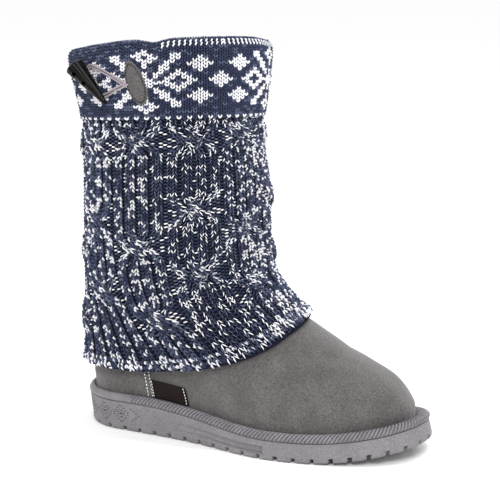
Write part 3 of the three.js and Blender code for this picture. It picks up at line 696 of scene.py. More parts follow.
# The welt's section from the inside bottom, round the outside, to the inside top:
# share across, out and height
WELT_SECTION = (
    (1.0, 0.0, 0.05), (0.5, 0.0, 0.05), (0.0, -0.1, 0.05), (0.0, 0.35, 0.12), (0.0, 0.5, 0.28),
    (0.0, 0.5, 0.42), (0.02, 0.35, 0.55), (0.07, 0.1, 0.68), (0.14, 0.0, 0.79), (0.23, 0.0, 0.88),
    (0.34, 0.0, 0.95), (0.46, 0.0, 0.99), (0.58, 0.0, 1.0), (0.7, 0.0, 0.97), (0.82, 0.0, 0.9),
    (0.92, 0.0, 0.78), (1.0, 0.0, 0.6),
)
WELT_FACE = 3  # the section's first row with ribs


def make_welt():
    turn, place, total = arc_places(WELT_COLUMNS)
    ridges = round(total / ROPE_PITCH)
    x = sole_edge(turn)[..., 0]
    strong = lerp(ROPE_AT_HEEL, 1, smooth((x / SOLE_LENGTH - ROPE_GROWS_FROM) / ROPE_GROWTH))
    face_rows = len(WELT_SECTION) - 1 - WELT_FACE

    def rope(at, v):
        return np.abs(np.cos(math.pi * (at * ridges / total - ROPE_SLANT * v)))

    rings, shaded_grooves = [], []
    for k, (across, out, height) in enumerate(WELT_SECTION):
        v = max(0.0, (k - WELT_FACE) / face_rows)
        swell = math.sin(math.pi * min(1, v * 1.12))
        lift = ROPE_HEIGHT * (2 * rope(place, v) ** 0.7 - 1) * strong * swell
        p = inset_edge(turn, lerp(wall_draft(x), welt_inset(x), across) - out - lift * (1 - across))
        z = block_top(p[..., 0]) + FIT + (WELT_HEIGHT - FIT) * height
        z = z + lift * min(1, 0.3 + across * 2) * (height > 0.3)
        rings.append(np.column_stack([p, z]))
        # Faces low in the rope's grooves get the darker rubber: painted shade
        sunk = rope(place + total / WELT_COLUMNS / 2, v + 0.5 / face_rows) < ROPE_SHADE_BELOW
        shaded_grooves.append(sunk & (strong > 0.5) & (WELT_FACE <= k < len(WELT_SECTION) - 2))
    faces = grid_faces(len(rings), WELT_COLUMNS, wrap_rows=True).tolist()
    indices = np.concatenate(shaded_grooves)
    materials = [welt_rubber, welt_groove_shade]
    add_mesh("rope_welt", np.concatenate(rings), faces, materials, indices, node="welt")


# Upper
def seam_distance(turn, side):
    """Distance along the foot from the side seam, on that side, and far away on the other."""
    outside = np.sin(TAU * turn) >= 0
    away = sole_edge(turn)[..., 0] - (SEAM_ALONG * SOLE_LENGTH + SEAM_WIDTH / 2)
    return np.where(outside == (side == "outer"), away, 1e3)


# Soft folds of the foot: turn, rise, reach round and up, slant and height
SUEDE_FOLDS = (
    (0.5, 0.3, 0.09, 0.014, 0.0, -1.0),
    (0.5, 0.335, 0.08, 0.013, 0.0, 0.6),
    (0.42, 0.225, 0.05, 0.014, -0.5, -0.7),
    (0.4, 0.2, 0.05, 0.014, -0.5, 0.45),
    (0.58, 0.225, 0.05, 0.014, 0.5, -0.7),
    (0.35, 0.12, 0.045, 0.018, -0.35, -0.6),
    (0.33, 0.085, 0.05, 0.014, -0.3, 0.4),
    (0.65, 0.12, 0.045, 0.018, 0.35, -0.6),
    (0.12, 0.1, 0.05, 0.012, 0.1, -0.6),
    (0.09, 0.072, 0.06, 0.01, 0.0, 0.4),
    (0.9, 0.1, 0.05, 0.012, -0.1, -0.6),
    (0.5, 0.14, 0.03, 0.02, 0.0, -0.35),
)
FOOT_EDGE = 0.05  # the rise within which the puckers fade and the folds begin
PUCKERS = 61
PUCKER_HEIGHT = 0.14
SEAM_RIDGE = 0.45
SEAM_GROOVE = 0.6
SEAM_TOP = 75


def suede_relief(turn, rise, z):
    folds = np.zeros_like(z)
    for at_turn, at_rise, wide, tall, slant, height in SUEDE_FOLDS:
        across = turn - at_turn
        up = rise - at_rise - slant * across
        folds = folds + height * np.exp(-((across / wide) ** 2) - (up / tall) ** 2)
    low = np.exp(-((rise / FOOT_EDGE) ** 2))
    puckers = PUCKER_HEIGHT * low * np.sin(TAU * turn * PUCKERS + 2 * np.sin(TAU * turn * 5))
    seam = np.zeros_like(z)
    for side in ("outer", "inner"):
        d = seam_distance(turn, side)
        ridges = SEAM_RIDGE * np.exp(-(((np.abs(d) - 1.5) / 0.9) ** 2))
        seam = seam + ridges - SEAM_GROOVE * np.exp(-((d / 0.45) ** 2))
    return folds * smooth(rise / FOOT_EDGE) + puckers + seam * (z < SEAM_TOP)


UPPER_COLUMNS = 300
FOOT_RINGS = 84
SHAFT_RINGS = 8
LINING_RINGS = 14


def make_upper():
    turn = np.arange(UPPER_COLUMNS) / UPPER_COLUMNS
    rises = np.concatenate([np.linspace(0, 0.5, FOOT_RINGS), np.linspace(0.52, 1, SHAFT_RINGS)])
    inner_rises = np.linspace(1, 0, LINING_RINGS)
    T, R = np.meshgrid(turn, rises)
    outer = upper_point(T, R, suede_relief(T, R, upper_skin(T, R)[..., 2]))
    T, R = np.meshgrid(turn, inner_rises)
    inner = upper_point(T, R, np.full(T.shape, -UPPER_WALL))
    tucked = upper_point(turn, np.zeros(UPPER_COLUMNS), np.full(UPPER_COLUMNS, -UPPER_WALL / 2))
    points = np.concatenate([outer.reshape(-1, 3), inner.reshape(-1, 3), tucked])
    faces = grid_faces(len(rises) + len(inner_rises) + 1, UPPER_COLUMNS, wrap_rows=True)
    inside = np.arange(len(faces)) // UPPER_COLUMNS >= len(rises) - 1
    add_mesh("suede_upper", points, faces.tolist(), [suede, lining], inside, node="upper")


# Knitting: one stitch is a V of two lobes of yarn
LOBE_SIDES = 4
LOBE_RINGS = ((0.16, 0.62), (0.5, 1.0), (0.84, 0.62))  # share along, and share of the thickness
LOBE_THICKNESS = 0.72
LOBE_ARCH = 0.55
LOBE_BELOW = 0.31  # share of a lobe that lies below its stitch's middle
LOBES_A_PIECE = 6400
YARNS = [navy_yarn, slate_yarn, white_yarn]
NAVY, SLATE, WHITE = range(3)


def lobe_template():
    """Points of one lobe, as share along, sideways and out, and its triangles."""
    points = [(0.0, 0.0, 0.0)]
    for share, radius in LOBE_RINGS:
        for k in range(LOBE_SIDES):
            a = TAU * (k + 0.5) / LOBE_SIDES
            points.append((share, radius * math.cos(a), radius * math.sin(a)))
    points.append((1.0, 0.0, 0.0))
    faces = []
    last = len(points) - 1
    for k in range(LOBE_SIDES):
        n = (k + 1) % LOBE_SIDES
        faces.append((0, 1 + n, 1 + k))
        for r in range(len(LOBE_RINGS) - 1):
            a, b = 1 + r * LOBE_SIDES, 1 + (r + 1) * LOBE_SIDES
            faces.append((a + k, a + n, b + n))
            faces.append((a + k, b + n, b + k))
        top = 1 + (len(LOBE_RINGS) - 1) * LOBE_SIDES
        faces.append((top + k, top + n, last))
    return np.array(points), np.array(faces)


LOBE_POINTS, LOBE_FACES = lobe_template()


def place_lobes(centres, lengthways, sideways, outwards):
    """Lobes at their centres, from pairs of unit directions (n, 3) and distances along them (n, points)."""
    lobes = centres[:, None, :]
    for direction, distance in (lengthways, sideways, outwards):
        lobes = lobes + direction[:, None, :] * distance[..., None]
    return lobes


def knit_stitches(
    centres, across, up, out, widths, heights, fat=0.27, deep=0.34, root=0.07, lean=0.36, reach=1.3
):
    """Two lobes for each stitch. Root and lean say how far from the stitch's middle line a lobe begins and
    how far it leans outwards, in widths, and reach how long it is, in heights."""
    s, beside, above = LOBE_POINTS.T
    wide = widths[:, None]
    along = (s - LOBE_BELOW) * reach * heights[:, None]
    height = (above * LOBE_THICKNESS + np.sin(math.pi * s) * LOBE_ARCH) * deep * wide
    pair = []
    for side in (-1, 1):
        sideways = (side * (root + lean * s) + beside * fat * LOBE_THICKNESS) * wide
        pair.append(place_lobes(centres, (across, sideways), (up, along), (out, height)))
    return np.stack(pair, 1).reshape(-1, len(LOBE_POINTS), 3)


def across_and_out(up, side, count):
    """Directions across and out of stitches, and their width where a row has count of them."""
    across = unit(side)
    return across, unit(np.cross(across, up)), np.linalg.norm(side, axis=1) / (2 * TURN_STEP) / count


def add_lobes(name, lobes, colours):
    """Splits a knitted area into pieces, none too large."""
    pieces = math.ceil(len(lobes) / LOBES_A_PIECE)
    bounds = [round(len(lobes) * i / pieces) for i in range(pieces + 1)]
    for i, (a, b) in enumerate(zip(bounds, bounds[1:])):
        starts = np.arange(b - a) * len(LOBE_POINTS)
        faces = (LOBE_FACES[None] + starts[:, None, None]).reshape(-1, 3)
        indices = np.repeat(colours[a:b], len(LOBE_FACES))
        add_mesh(f"{name}_{i + 1}", lobes[a:b].reshape(-1, 3), faces.tolist(), YARNS, indices)


# Cables: each panel has two strands of four ribs, which cross at some heights, as shares down the leg
CABLE_CROSSINGS = ((0.11, 0.53, 0.81), (0.12, 0.41, 0.68))
RIB_PLACES = (0.078, 0.17, 0.33, 0.422)
STRAND_RIBS = len(RIB_PLACES)
STRAND_MIDDLE = 0.25
STRAND_SHIFT = 0.495
OVER_RISE = 1.35
UNDER_RISE = -0.9
OVER_BOW = 0.7
RIB_BOW = 0.4


def cable_state(panel, down):
    """How many times the strands have changed places, and how much they are in a crossing."""
    length = LEG_TOP - CUFF_HEIGHT - HEM_BACK
    crossings = np.array(CABLE_CROSSINGS)[panel % 2]
    sweeps = (down[..., None] - crossings) * length / CABLE_CROSS_LENGTH + 0.5
    return smooth(sweeps).sum(-1), np.sin(math.pi * clamp01(sweeps)).max(-1)


def leg_wale(wale, down):
    """Turn and height over the ground of a wale of the leg, at each share down from the cuff."""
    panel, rib = wale // PANEL_WALES, wale % PANEL_WALES
    swaps, active = cable_state(panel, down)
    phase = swaps + rib // STRAND_RIBS
    step = phase - np.floor(phase)
    over = np.floor(phase).astype(int) % 2 == 0
    home = np.array(RIB_PLACES)[rib % STRAND_RIBS]
    place = home + STRAND_SHIFT * np.where(over, step, 1 - step)
    crossing = np.minimum(1, active * 1.3)
    bow = np.cos((home - STRAND_MIDDLE) / STRAND_MIDDLE * math.pi / 2)
    rise = CABLE_RISE * 0.55 + np.where(over, OVER_RISE, UNDER_RISE) * crossing
    rise = rise + OVER_BOW * crossing * np.where(over, bow, 0.0) + RIB_BOW * bow
    return (panel + place) / CABLE_PANELS, rise


LEG_UNDER_CUFF = 5
STITCHES_SINK = 0.6
HEM_ROLL = 0.9
HEM_ROLL_START = 0.965
HEM_ROLL_LENGTH = 0.03


def leg_height(turn, down):
    return lerp(cuff_bottom(turn) + LEG_UNDER_CUFF, hem_height(turn), down)


def leg_point(turn, down, rise):
    ease = HEM_EASE * smooth(down) * (1 + np.cos(TAU * turn)) / 2
    roll = HEM_ROLL * smooth((down - HEM_ROLL_START) / HEM_ROLL_LENGTH)
    return at_height(turn, leg_height(turn, down), FIT + LEG_WALL - STITCHES_SINK + ease + roll + rise)


def leg_normal(turn, down):
    return upper_normal(turn, rise_at(turn, leg_height(turn, down)))


LEG_COLUMNS = 240
LEG_RINGS = 48
GROUND_DEPTH = 0.5
LIP_DEPTH = 2.2
HEM_INSIDE = 14
LEG_STITCH = {"fat": 0.15, "deep": 0.36, "root": 0.42, "lean": -0.34, "reach": 1.24}
LEG_STITCH_WIDTH = 4.3
LEG_WOBBLE = 0.12
LEG_FLECKS = 0.345  # share of white lobes in front
LEG_FLECKS_FEWER = 0.07  # and how much less it is at the back
FLECK_RUNS = 0.3  # share of lobes that follow their neighbour
HEM_FLECKS = 0.12
HEM_START = 0.955


def make_leg():
    turn = np.arange(LEG_COLUMNS) / LEG_COLUMNS
    outer = leg_point(turn, np.linspace(1, -0.02, LEG_RINGS)[:, None], -GROUND_DEPTH)
    lip = leg_point(turn, 1.0, -LIP_DEPTH)
    inner = at_height(turn, hem_height(turn) + HEM_INSIDE, FIT + 0.2)
    points = np.concatenate([inner, lip, outer.reshape(-1, 3)])
    faces = grid_faces(LEG_RINGS + 2, LEG_COLUMNS).tolist()
    add_mesh("leg_ground", points, faces, [knit_shadow], node="knit_leg")

    row_downs = (np.arange(LEG_ROWS) + 0.5) / LEG_ROWS
    W, D = (grid.ravel() for grid in np.meshgrid(np.arange(LEG_WALES), row_downs))

    def point_at(down):
        t, rise = leg_wale(W, down)
        return leg_point(t, down, rise)

    up = point_at(D - 0.5 / LEG_ROWS) - point_at(D + 0.5 / LEG_ROWS)
    heights = np.linalg.norm(up, axis=1)
    up = unit(up)
    across = unit(np.cross(up, leg_normal(leg_wale(W, D)[0], D)))
    here = point_at(D) + rng.normal(0, LEG_WOBBLE, (len(W), 3))
    widths = np.full(len(W), LEG_STITCH_WIDTH)
    lobes = knit_stitches(here, across, up, np.cross(across, up), widths, heights, **LEG_STITCH)

    # Marled yarn: white flecks come in short runs along a row
    columns = LEG_WALES * 2
    fleck = rng.random((LEG_ROWS, columns))
    fleck = np.where(rng.random(fleck.shape) < FLECK_RUNS, np.roll(fleck, 1, axis=1), fleck)
    toward_back = (1 + np.cos(TAU * (np.arange(columns) / columns - 0.1))) / 2
    dark = np.where(rng.random(fleck.shape) < 0.5, SLATE, NAVY)
    colours = np.where(fleck < LEG_FLECKS - LEG_FLECKS_FEWER * toward_back, WHITE, dark)
    hem = row_downs > HEM_START
    colours[hem] = np.where(rng.random(colours[hem].shape) < HEM_FLECKS, WHITE, colours[hem])
    add_lobes("leg_stitches", lobes, colours.reshape(-1))


# Bars of the furrows: share across the panel, stagger in rows, length as a share of the panel, and
# whether they are needed only beside a crossing, where the strands leave the ground bare
FURROW_BARS = (
    (0.0, 0.0, 0.07, False), (0.25, 0.5, 0.06, False), (0.5, 0.0, 0.07, False), (0.75, 0.5, 0.06, False),
    (0.075, 0.5, 0.07, True), (0.425, 0.5, 0.07, True), (0.575, 0.5, 0.07, True), (0.925, 0.5, 0.07, True),
    (0.15, 0.0, 0.07, True), (0.85, 0.0, 0.07, True), (0.225, 0.5, 0.07, True), (0.775, 0.5, 0.07, True),
)
BAR_RADIUS = 0.75
BAR_ARCH = 0.5
BAR_REACH = 1.25
BAR_RISES = (0.05, 0.55)  # elsewhere, and beside a crossing
BAR_FLECKS = (0.1, 0.27)


def make_bars():
    """Short bars of yarn across the furrows beside each cable."""
    places = []
    for panel in range(CABLE_PANELS):
        for row in range(LEG_ROWS):
            crossing = cable_state(panel, np.array([(row + 0.5) / LEG_ROWS]))[1][0] > 0.1
            for share, stagger, wide, only_there in FURROW_BARS:
                if crossing or not only_there:
                    places.append((panel + share, row + 0.2 + stagger, wide, crossing))
    t, d, wide, crossing = np.array(places, float).T
    t, d, wide, crossing = t / CABLE_PANELS, d / LEG_ROWS, wide / CABLE_PANELS, crossing.astype(int)
    rise = np.array(BAR_RISES)[crossing]
    side = leg_point(t + wide / 2, d, rise) - leg_point(t - wide / 2, d, rise)
    length = np.linalg.norm(side, axis=1)[:, None]
    side = unit(side)
    out = leg_normal(t, d)
    s, beside, above = LOBE_POINTS.T
    along = (s - 0.5) * length * BAR_REACH
    height = above * BAR_RADIUS + BAR_ARCH * np.sin(math.pi * s)
    downwards = (np.cross(side, out), beside * BAR_RADIUS)
    lobes = place_lobes(leg_point(t, d, rise), (side, along), downwards, (out, height))
    white = rng.random(len(t)) < np.array(BAR_FLECKS)[crossing]
    slate = (rng.random(len(t)) < 0.5) & (crossing > 0)
    add_lobes("leg_bars", lobes, np.where(white, WHITE, np.where(slate, SLATE, NAVY)))


HEM_EDGE_STITCHES = 190
HEM_EDGE_DOWN = 0.985
HEM_EDGE_STEP = 0.02
HEM_EDGE_HEIGHT = 3.0
HEM_EDGE_WHITE = 0.36


def make_hem_edge():
    """Two close rows of small stitches that roll over the hem."""
    count = HEM_EDGE_STITCHES
    row = np.repeat((0.0, 1.0), count)
    t = np.tile(np.arange(count) / count, 2) + row * 0.5 / count
    d = HEM_EDGE_DOWN - row * HEM_EDGE_STEP
    here = leg_point(t, d, 1.0 + row * 0.6)
    up = unit(leg_point(t, d - 0.01, 1.3 + row * 0.3) - leg_point(t, d + 0.01, 0.4 + row * 0.3))
    side = leg_point(t + TURN_STEP, d, 1.0) - leg_point(t - TURN_STEP, d, 1.0)
    across, out, widths = across_and_out(up, side, count)
    heights = np.full(len(t), HEM_EDGE_HEIGHT)
    lobes = knit_stitches(here, across, up, out, widths * 1.1, heights, reach=1.2, lean=0.3)
    colours = np.where(rng.random(len(lobes)) < HEM_EDGE_WHITE, WHITE, NAVY)
    add_lobes("hem_edge", lobes, colours)


# The cuff's chart: motifs by column, row from the top and reach, repeated round the cuff
CHART_REPEAT = 28
CHART_SHIFT = 36
EDGE_ROW = 22
CHART_MOTIFS = (
    ("open", 0, 10, 3), ("solid", 4, 5, 2), ("solid", 4, 15, 2), ("solid", 8, 10, 2), ("solid", 12, 5, 2),
    ("solid", 12, 15, 2), ("open", 16, 10, 3), ("open", 22, 2, 2), ("open", 22, 18, 2), ("star", 22, 10, 0),
)
# The star: for each row away from its middle, the stitches to each side of it
STAR_ROWS = ((0, 1, 2), (0, 1), (0, 2), (0, 2, 3), (3, 4), (0, 3, 4), (4, 5), (5, 6), (5, 6))
STAR_QUARTER = {(dx, dy) for dy, row in enumerate(STAR_ROWS) for dx in row}
TICK_ROWS = 2  # the first rows of the fold have white ticks
TICK_TURNS = (0.29, 0.72)  # between these turns
TICK_CHANGE = 0.4  # where their slant changes
CUFF_INSIDE_ROWS = 15
CUFF_NAVY_ROWS = 4  # the first of them, which have no white but the ticks
CUFF_INSIDE_WHITE = 0.3
CUFF_SLATE = 0.24
CUFF_WOBBLE = 0.07
CUFF_STITCH = {"fat": 0.32, "deep": 0.42, "lean": 0.35, "reach": 1.42}
CUFF_SINK = 0.7  # of the stitches' ground under the cuff's face
CUFF_BELLY = 0.5
CUFF_COLUMNS = 220
CUFF_RINGS = 54
CUFF_BACK_RINGS = 12
CUFF_BACK_RISE = 30
CUFF_CLIMB = 1.62


def chart_is_white(column, row):
    """Whether a stitch of the cuff's front is white."""
    if row == EDGE_ROW:
        return column % 2 == 0
    for kind, at, middle, reach in CHART_MOTIFS:
        dx = abs((column - CHART_SHIFT - at + CHART_REPEAT // 2) % CHART_REPEAT - CHART_REPEAT // 2)
        dy = abs(row - middle)
        if kind == "solid" and dx + dy <= reach:
            return True
        if kind == "open" and reach - 1 <= dx + dy <= reach:
            return True
        if kind == "star" and (dx, dy) in STAR_QUARTER:
            return True
    return False


def cuff_section(turn, climb):
    """A point of the knitted cuff. Climb is 0 at its lower edge and 1 where the fold starts, and goes on over
    the fold and down inside."""
    bottom = cuff_bottom(turn)
    length = collar_top(turn) - bottom + collar_wave(turn) - 1
    half = (CUFF_FACE - MOUTH) / 2
    fold_length = math.pi * (half + FOLD_TOP) / 2
    s = climb * length
    angle = clamp01((s - length) / fold_length) * math.pi
    inside = np.maximum(0, s - length - fold_length)
    over = (CUFF_FACE + MOUTH - CUFF_SINK) / 2 + (half - CUFF_SINK / 2) * np.cos(angle)
    offset = np.where(s < length, CUFF_FACE - CUFF_SINK, over)
    z = bottom + np.where(s < length, s, length + (FOLD_TOP - 0.4) * np.sin(angle) - inside)
    return at_height(turn, z, offset + CUFF_BELLY * np.sin(math.pi * clamp01(s / length)))


def cuff_colours():
    """The colour of each lobe, by row from the cuff's lower edge, stitch and lobe."""
    chart, inside = CUFF_CHART_ROWS, CUFF_INSIDE_ROWS
    white = np.zeros((chart + inside, CUFF_WALES), bool)
    for row in range(chart):
        white[row] = [chart_is_white(column, chart - 1 - row) for column in range(CUFF_WALES)]
    white[chart:] = rng.random((inside, CUFF_WALES)) < CUFF_INSIDE_WHITE
    white[chart : chart + CUFF_NAVY_ROWS] = False
    place = np.arange(CUFF_WALES) / CUFF_WALES
    ticked = (TICK_TURNS[0] < place) & (place < TICK_TURNS[1])
    ticks = slice(chart, chart + TICK_ROWS)
    white[ticks, ticked] = True
    colours = np.where(white, WHITE, np.where(rng.random(white.shape) < CUFF_SLATE, SLATE, NAVY))
    colours = np.repeat(colours[..., None], 2, axis=2)
    # On the fold only one lobe of each stitch is white, so that the row reads as slanted ticks
    colours[ticks, ticked & (place < TICK_CHANGE), 0] = NAVY
    colours[ticks, ticked & (place >= TICK_CHANGE), 1] = NAVY
    return colours.reshape(-1)


def make_cuff():
    turn = np.arange(CUFF_COLUMNS) / CUFF_COLUMNS
    outside = cuff_section(turn, np.linspace(0, CUFF_CLIMB, CUFF_RINGS)[:, None])
    rises = np.linspace(CUFF_BACK_RISE, 0.4, CUFF_BACK_RINGS)[:, None]
    behind = at_height(turn, cuff_bottom(turn) + rises, CUFF_BACK + 0.1)
    points = np.concatenate([behind, outside])
    faces = grid_faces(len(points), CUFF_COLUMNS).tolist()
    add_mesh("cuff_ground", points.reshape(-1, 3), faces, [knit_shadow], node="knit_cuff")

    climbs = (np.arange(CUFF_CHART_ROWS + CUFF_INSIDE_ROWS) + 0.5) / CUFF_CHART_ROWS
    t, C = (grid.ravel() for grid in np.meshgrid((np.arange(CUFF_WALES) + 0.5) / CUFF_WALES, climbs))
    half_row = 0.5 / CUFF_CHART_ROWS
    up = cuff_section(t, C + half_row) - cuff_section(t, C - half_row)
    heights = np.linalg.norm(up, axis=1)
    up = unit(up)
    side = cuff_section(t + TURN_STEP, C) - cuff_section(t - TURN_STEP, C)
    across, out, widths = across_and_out(up, side, CUFF_WALES)
    here = cuff_section(t, C) + rng.normal(0, CUFF_WOBBLE, (len(t), 3))
    lobes = knit_stitches(here, across, up, out, widths, heights, **CUFF_STITCH)
    add_lobes("cuff_stitches", lobes, cuff_colours())


# Toggle
def cuff_frame(turn, drop):
    """Directions on the cuff's face, at a drop below the fold's top."""
    z = collar_top(turn) + FOLD_TOP - drop
    along = at_height(turn + TURN_STEP, z, CUFF_FACE) - at_height(turn - TURN_STEP, z, CUFF_FACE)
    up = unit(at_height(turn, z + 1, CUFF_FACE) - at_height(turn, z - 1, CUFF_FACE))
    return {
        "turn": turn,
        "z": z,
        "origin": at_height(turn, z, CUFF_FACE),
        "along": unit(along),
        "up": up,
        "out": np.cross(unit(along), up),
        "per_turn": np.linalg.norm(along) / (2 * TURN_STEP),
    }


patch_frame = cuff_frame(PATCH_TURN, PATCH_DROP)
horn_frame = cuff_frame(PATCH_TURN - HORN_AWAY / patch_frame["per_turn"], HORN_DROP)


def on_cuff(along, up, out):
    turn = patch_frame["turn"] + np.asarray(along, float) / patch_frame["per_turn"]
    return at_height(turn, patch_frame["z"] + np.asarray(up, float), CUFF_FACE + np.asarray(out, float))


def horn_axes():
    tilt, lean = math.radians(HORN_TILT), math.radians(HORN_LEAN)
    flat = horn_frame["along"] * math.sin(tilt) - horn_frame["up"] * math.cos(tilt)
    tipward = flat * math.cos(lean) - horn_frame["out"] * math.sin(lean)
    drilled = horn_frame["out"] * math.cos(lean) + flat * math.sin(lean)
    third = np.cross(drilled, -tipward)
    wide_end = horn_frame["origin"] + horn_frame["out"] * HORN_STAND - tipward * HORN_LENGTH / 2
    return wide_end, tipward, drilled, third


wide_end, tipward, drilled, third = horn_axes()


def on_horn(share):
    """A point of the horn's axis, at a share of its length from the wide end."""
    return wide_end + tipward * HORN_LENGTH * share


def circle(sides, first, second):
    """Unit points of a circle, from the direction first towards the direction second."""
    angle = (TAU * np.arange(sides) / sides)[:, None]
    return np.cos(angle) * first + np.sin(angle) * second


HORN_TIP = HORN_TIP_RADIUS / HORN_RADIUS
# The horn's outline: share of the length and share of the radius
HORN_OUTLINE = (
    (0, 0.86), (0.012, 0.96), (0.03, 1.0), (0.5, 0.5 * (1 + HORN_TIP)), (0.94, HORN_TIP * 1.05),
    (0.985, HORN_TIP * 0.8), (1.0, HORN_TIP * 0.35),
)
HORN_STATIONS = 60
HORN_SIDES = 160
HORN_BOW = 0.24
FLUTE_DEPTH = 0.1
FLUTE_MIDDLE = 0.6
BORE_SIDES = 24
BORE_REACH = 12
BORE_SHARE = 0.8


def make_horn():
    """The fluted and tapered horn, with its two holes cut."""
    angle = TAU * np.arange(HORN_SIDES) / HORN_SIDES
    flute = FLUTE_DEPTH * (np.abs(np.cos(angle * HORN_FLUTES / 2)) - FLUTE_MIDDLE)
    rings = []
    for s in np.linspace(0, 1, HORN_STATIONS):
        radius = np.interp(s, *np.array(HORN_OUTLINE).T) * HORN_RADIUS
        radius = radius * (1 + flute * smooth(s / 0.05) * (1 - 0.4 * s))
        centre = on_horn(s) - drilled * HORN_BOW * math.sin(math.pi * s)
        rings.append(centre + radius[:, None] * circle(HORN_SIDES, drilled, third))
    points = np.concatenate([[wide_end], *rings, [on_horn(1)]])
    faces = grid_faces(HORN_STATIONS, HORN_SIDES, start=1).tolist()
    last = len(points) - 1
    faces += [[0, 1 + (k + 1) % HORN_SIDES, 1 + k] for k in range(HORN_SIDES)]
    tip = last - HORN_SIDES
    faces += [[last, tip + k, tip + (k + 1) % HORN_SIDES] for k in range(HORN_SIDES)]
    faces = [face[::-1] for face in faces]
    horn = add_mesh("fluted_horn", points, faces, [horn_black, horn_bore], node="toggle_horn")

    cutters = []
    for i, place in enumerate(HORN_HOLE_PLACES):
        ring = on_horn(place) + HORN_HOLE_RADIUS * BORE_SHARE * circle(BORE_SIDES, tipward, third)
        points = np.concatenate([ring + drilled * BORE_REACH, ring - drilled * BORE_REACH])
        faces = grid_faces(2, BORE_SIDES).tolist()
        faces += [list(range(BORE_SIDES)), list(range(2 * BORE_SIDES - 1, BORE_SIDES - 1, -1))]
        cutter = add_mesh(f"bore_{i}", points, faces, [horn_bore])
        boolean = horn.modifiers.new(f"bore_{i}", "BOOLEAN")
        boolean.operation = "DIFFERENCE"
        boolean.object = cutter
        boolean.solver = "EXACT"
        cutters.append(cutter)
    bpy.context.view_layer.update()
    cut = bpy.data.meshes.new_from_object(horn.evaluated_get(bpy.context.evaluated_depsgraph_get()))
    horn.modifiers.clear()
    horn.data = cut
    for cutter in cutters:
        bpy.data.objects.remove(cutter)


def tangents(path):
    return unit(np.gradient(path, axis=0))


def sweep(name, path, node):
    """A round cord along a path of points."""
    normal = np.array([0.3, 0.2, 0.9])
    rings = []
    for p, tangent in zip(path, tangents(path)):
        normal = unit(normal - tangent * (normal @ tangent))
        rings.append(p + CORD_RADIUS * circle(CORD_SIDES, normal, np.cross(tangent, normal)))
    faces = tube_faces(len(path), CORD_SIDES)
    add_mesh(name, np.concatenate(rings), faces, [cord_mauve], node=node)


def spline(points, count):
    """A smooth path through given points."""
    p = np.asarray(points, float)
    p = np.vstack([2 * p[0] - p[1], p, 2 * p[-1] - p[-2]])
    path = []
    for u in np.linspace(0, len(p) - 3 - 1e-6, count):
        i = int(u)
        t = u - i
        a, b, c, d = p[i : i + 4]
        curve = (2 * a - 5 * b + 4 * c - d) * t**2 + (3 * b - a - 3 * c + d) * t**3
        path.append(0.5 * (2 * b + (c - a) * t + curve))
    return np.array(path)


# The loop's two strands, from the patch's edge to behind the horn: along the cuff, up and out
STRANDS = (
    ((-6.0, 0.2, 2.0), (-8.4, -0.4, 2.0), (-17.5, 4.2, 2.0), (-30.0, 9.0, 2.0), (-36.5, 10.2, 2.0)),
    ((-6.0, -1.4, 2.0), (-8.4, -1.2, 2.0), (-16.0, -4.4, 2.0), (-24.5, -8.4, 2.2), (-31.5, -9.0, 2.2)),
)
CORD_ENDS = (-1, -0.5, 0.2)  # depths of the strand's end in its hole, as shares of the horn's radius
CORD_STEPS = 90
CORD_APART = 0.95
CORD_RADIUS = 0.72
CORD_SIDES = 10


def make_cord():
    """Two strands, each doubled side by side, out to the horn and into its hole."""
    for hole, route in enumerate(STRANDS):
        ends = [on_horn(HORN_HOLE_PLACES[hole]) + drilled * depth * HORN_RADIUS for depth in CORD_ENDS]
        path = spline([on_cuff(*p) for p in route] + ends, CORD_STEPS)
        side = np.cross(tangents(path), horn_frame["out"])
        side /= np.maximum(np.linalg.norm(side, axis=1, keepdims=True), 0.3)
        for letter, shift in (("a", -CORD_APART), ("b", CORD_APART)):
            node = "toggle_loop" if hole == 0 and letter == "a" else None
            sweep(f"loop_cord_{hole + 1}{letter}", path + side * shift, node)


PATCH_SIDES = 96
# The patch's form from its back to its middle: share of its size, and height over the cuff
PATCH_LEVELS = (
    (1.0, 0.4), (1.0, 1.5), (0.97, 1.9), (0.92, 2.0), (0.86, 1.75),
    (0.8, 2.0), (0.6, 2.25), (0.4, 2.35), (0.2, 2.4), (0.05, 2.4),
)
PATCH_STITCH_HALF = 0.055
PATCH_STITCH_SHARE = 0.86
PATCH_STITCH_HEIGHT = 2.3
PATCH_THREAD = 0.45


def leaf(share, angle, out):
    """A point of the leaf-shaped patch."""
    tilt = math.radians(PATCH_TILT)
    y = share * np.sin(angle) * PATCH_LENGTH / 2
    x = share * np.cos(angle) * PATCH_WIDTH / 2 * (1 - 0.12 * np.sin(angle))
    x = x * (1 - 0.1 * np.abs(np.sin(angle)) ** 3)
    return on_cuff(x * math.cos(tilt) - y * math.sin(tilt), x * math.sin(tilt) + y * math.cos(tilt), out)


def make_patch():
    """A leaf of suede with a sewn edge."""
    angle = TAU * np.arange(PATCH_SIDES) / PATCH_SIDES
    points = np.concatenate([leaf(share, angle, out) for share, out in PATCH_LEVELS])
    faces = tube_faces(len(PATCH_LEVELS), PATCH_SIDES)
    add_mesh("suede_patch", points, faces, [suede], node="toggle_patch")
    ends = []
    for k in range(PATCH_STITCHES):
        centre = TAU * k / PATCH_STITCHES
        pair = np.array([centre - PATCH_STITCH_HALF, centre + PATCH_STITCH_HALF])
        ends.append(leaf(PATCH_STITCH_SHARE, pair, PATCH_STITCH_HEIGHT))
    add_threads("patch_stitching", ends, PATCH_THREAD, thread_dark, patch_frame["out"])


THREAD_SIDES = 6
# A sewn stitch's rings: share along, share of the radius, and how far it is sunk
THREAD_RINGS = ((0, 0.45, 0.25), (0.2, 0.95, 0.0), (0.5, 1.0, -0.05), (0.8, 0.95, 0.0), (1, 0.45, 0.25))


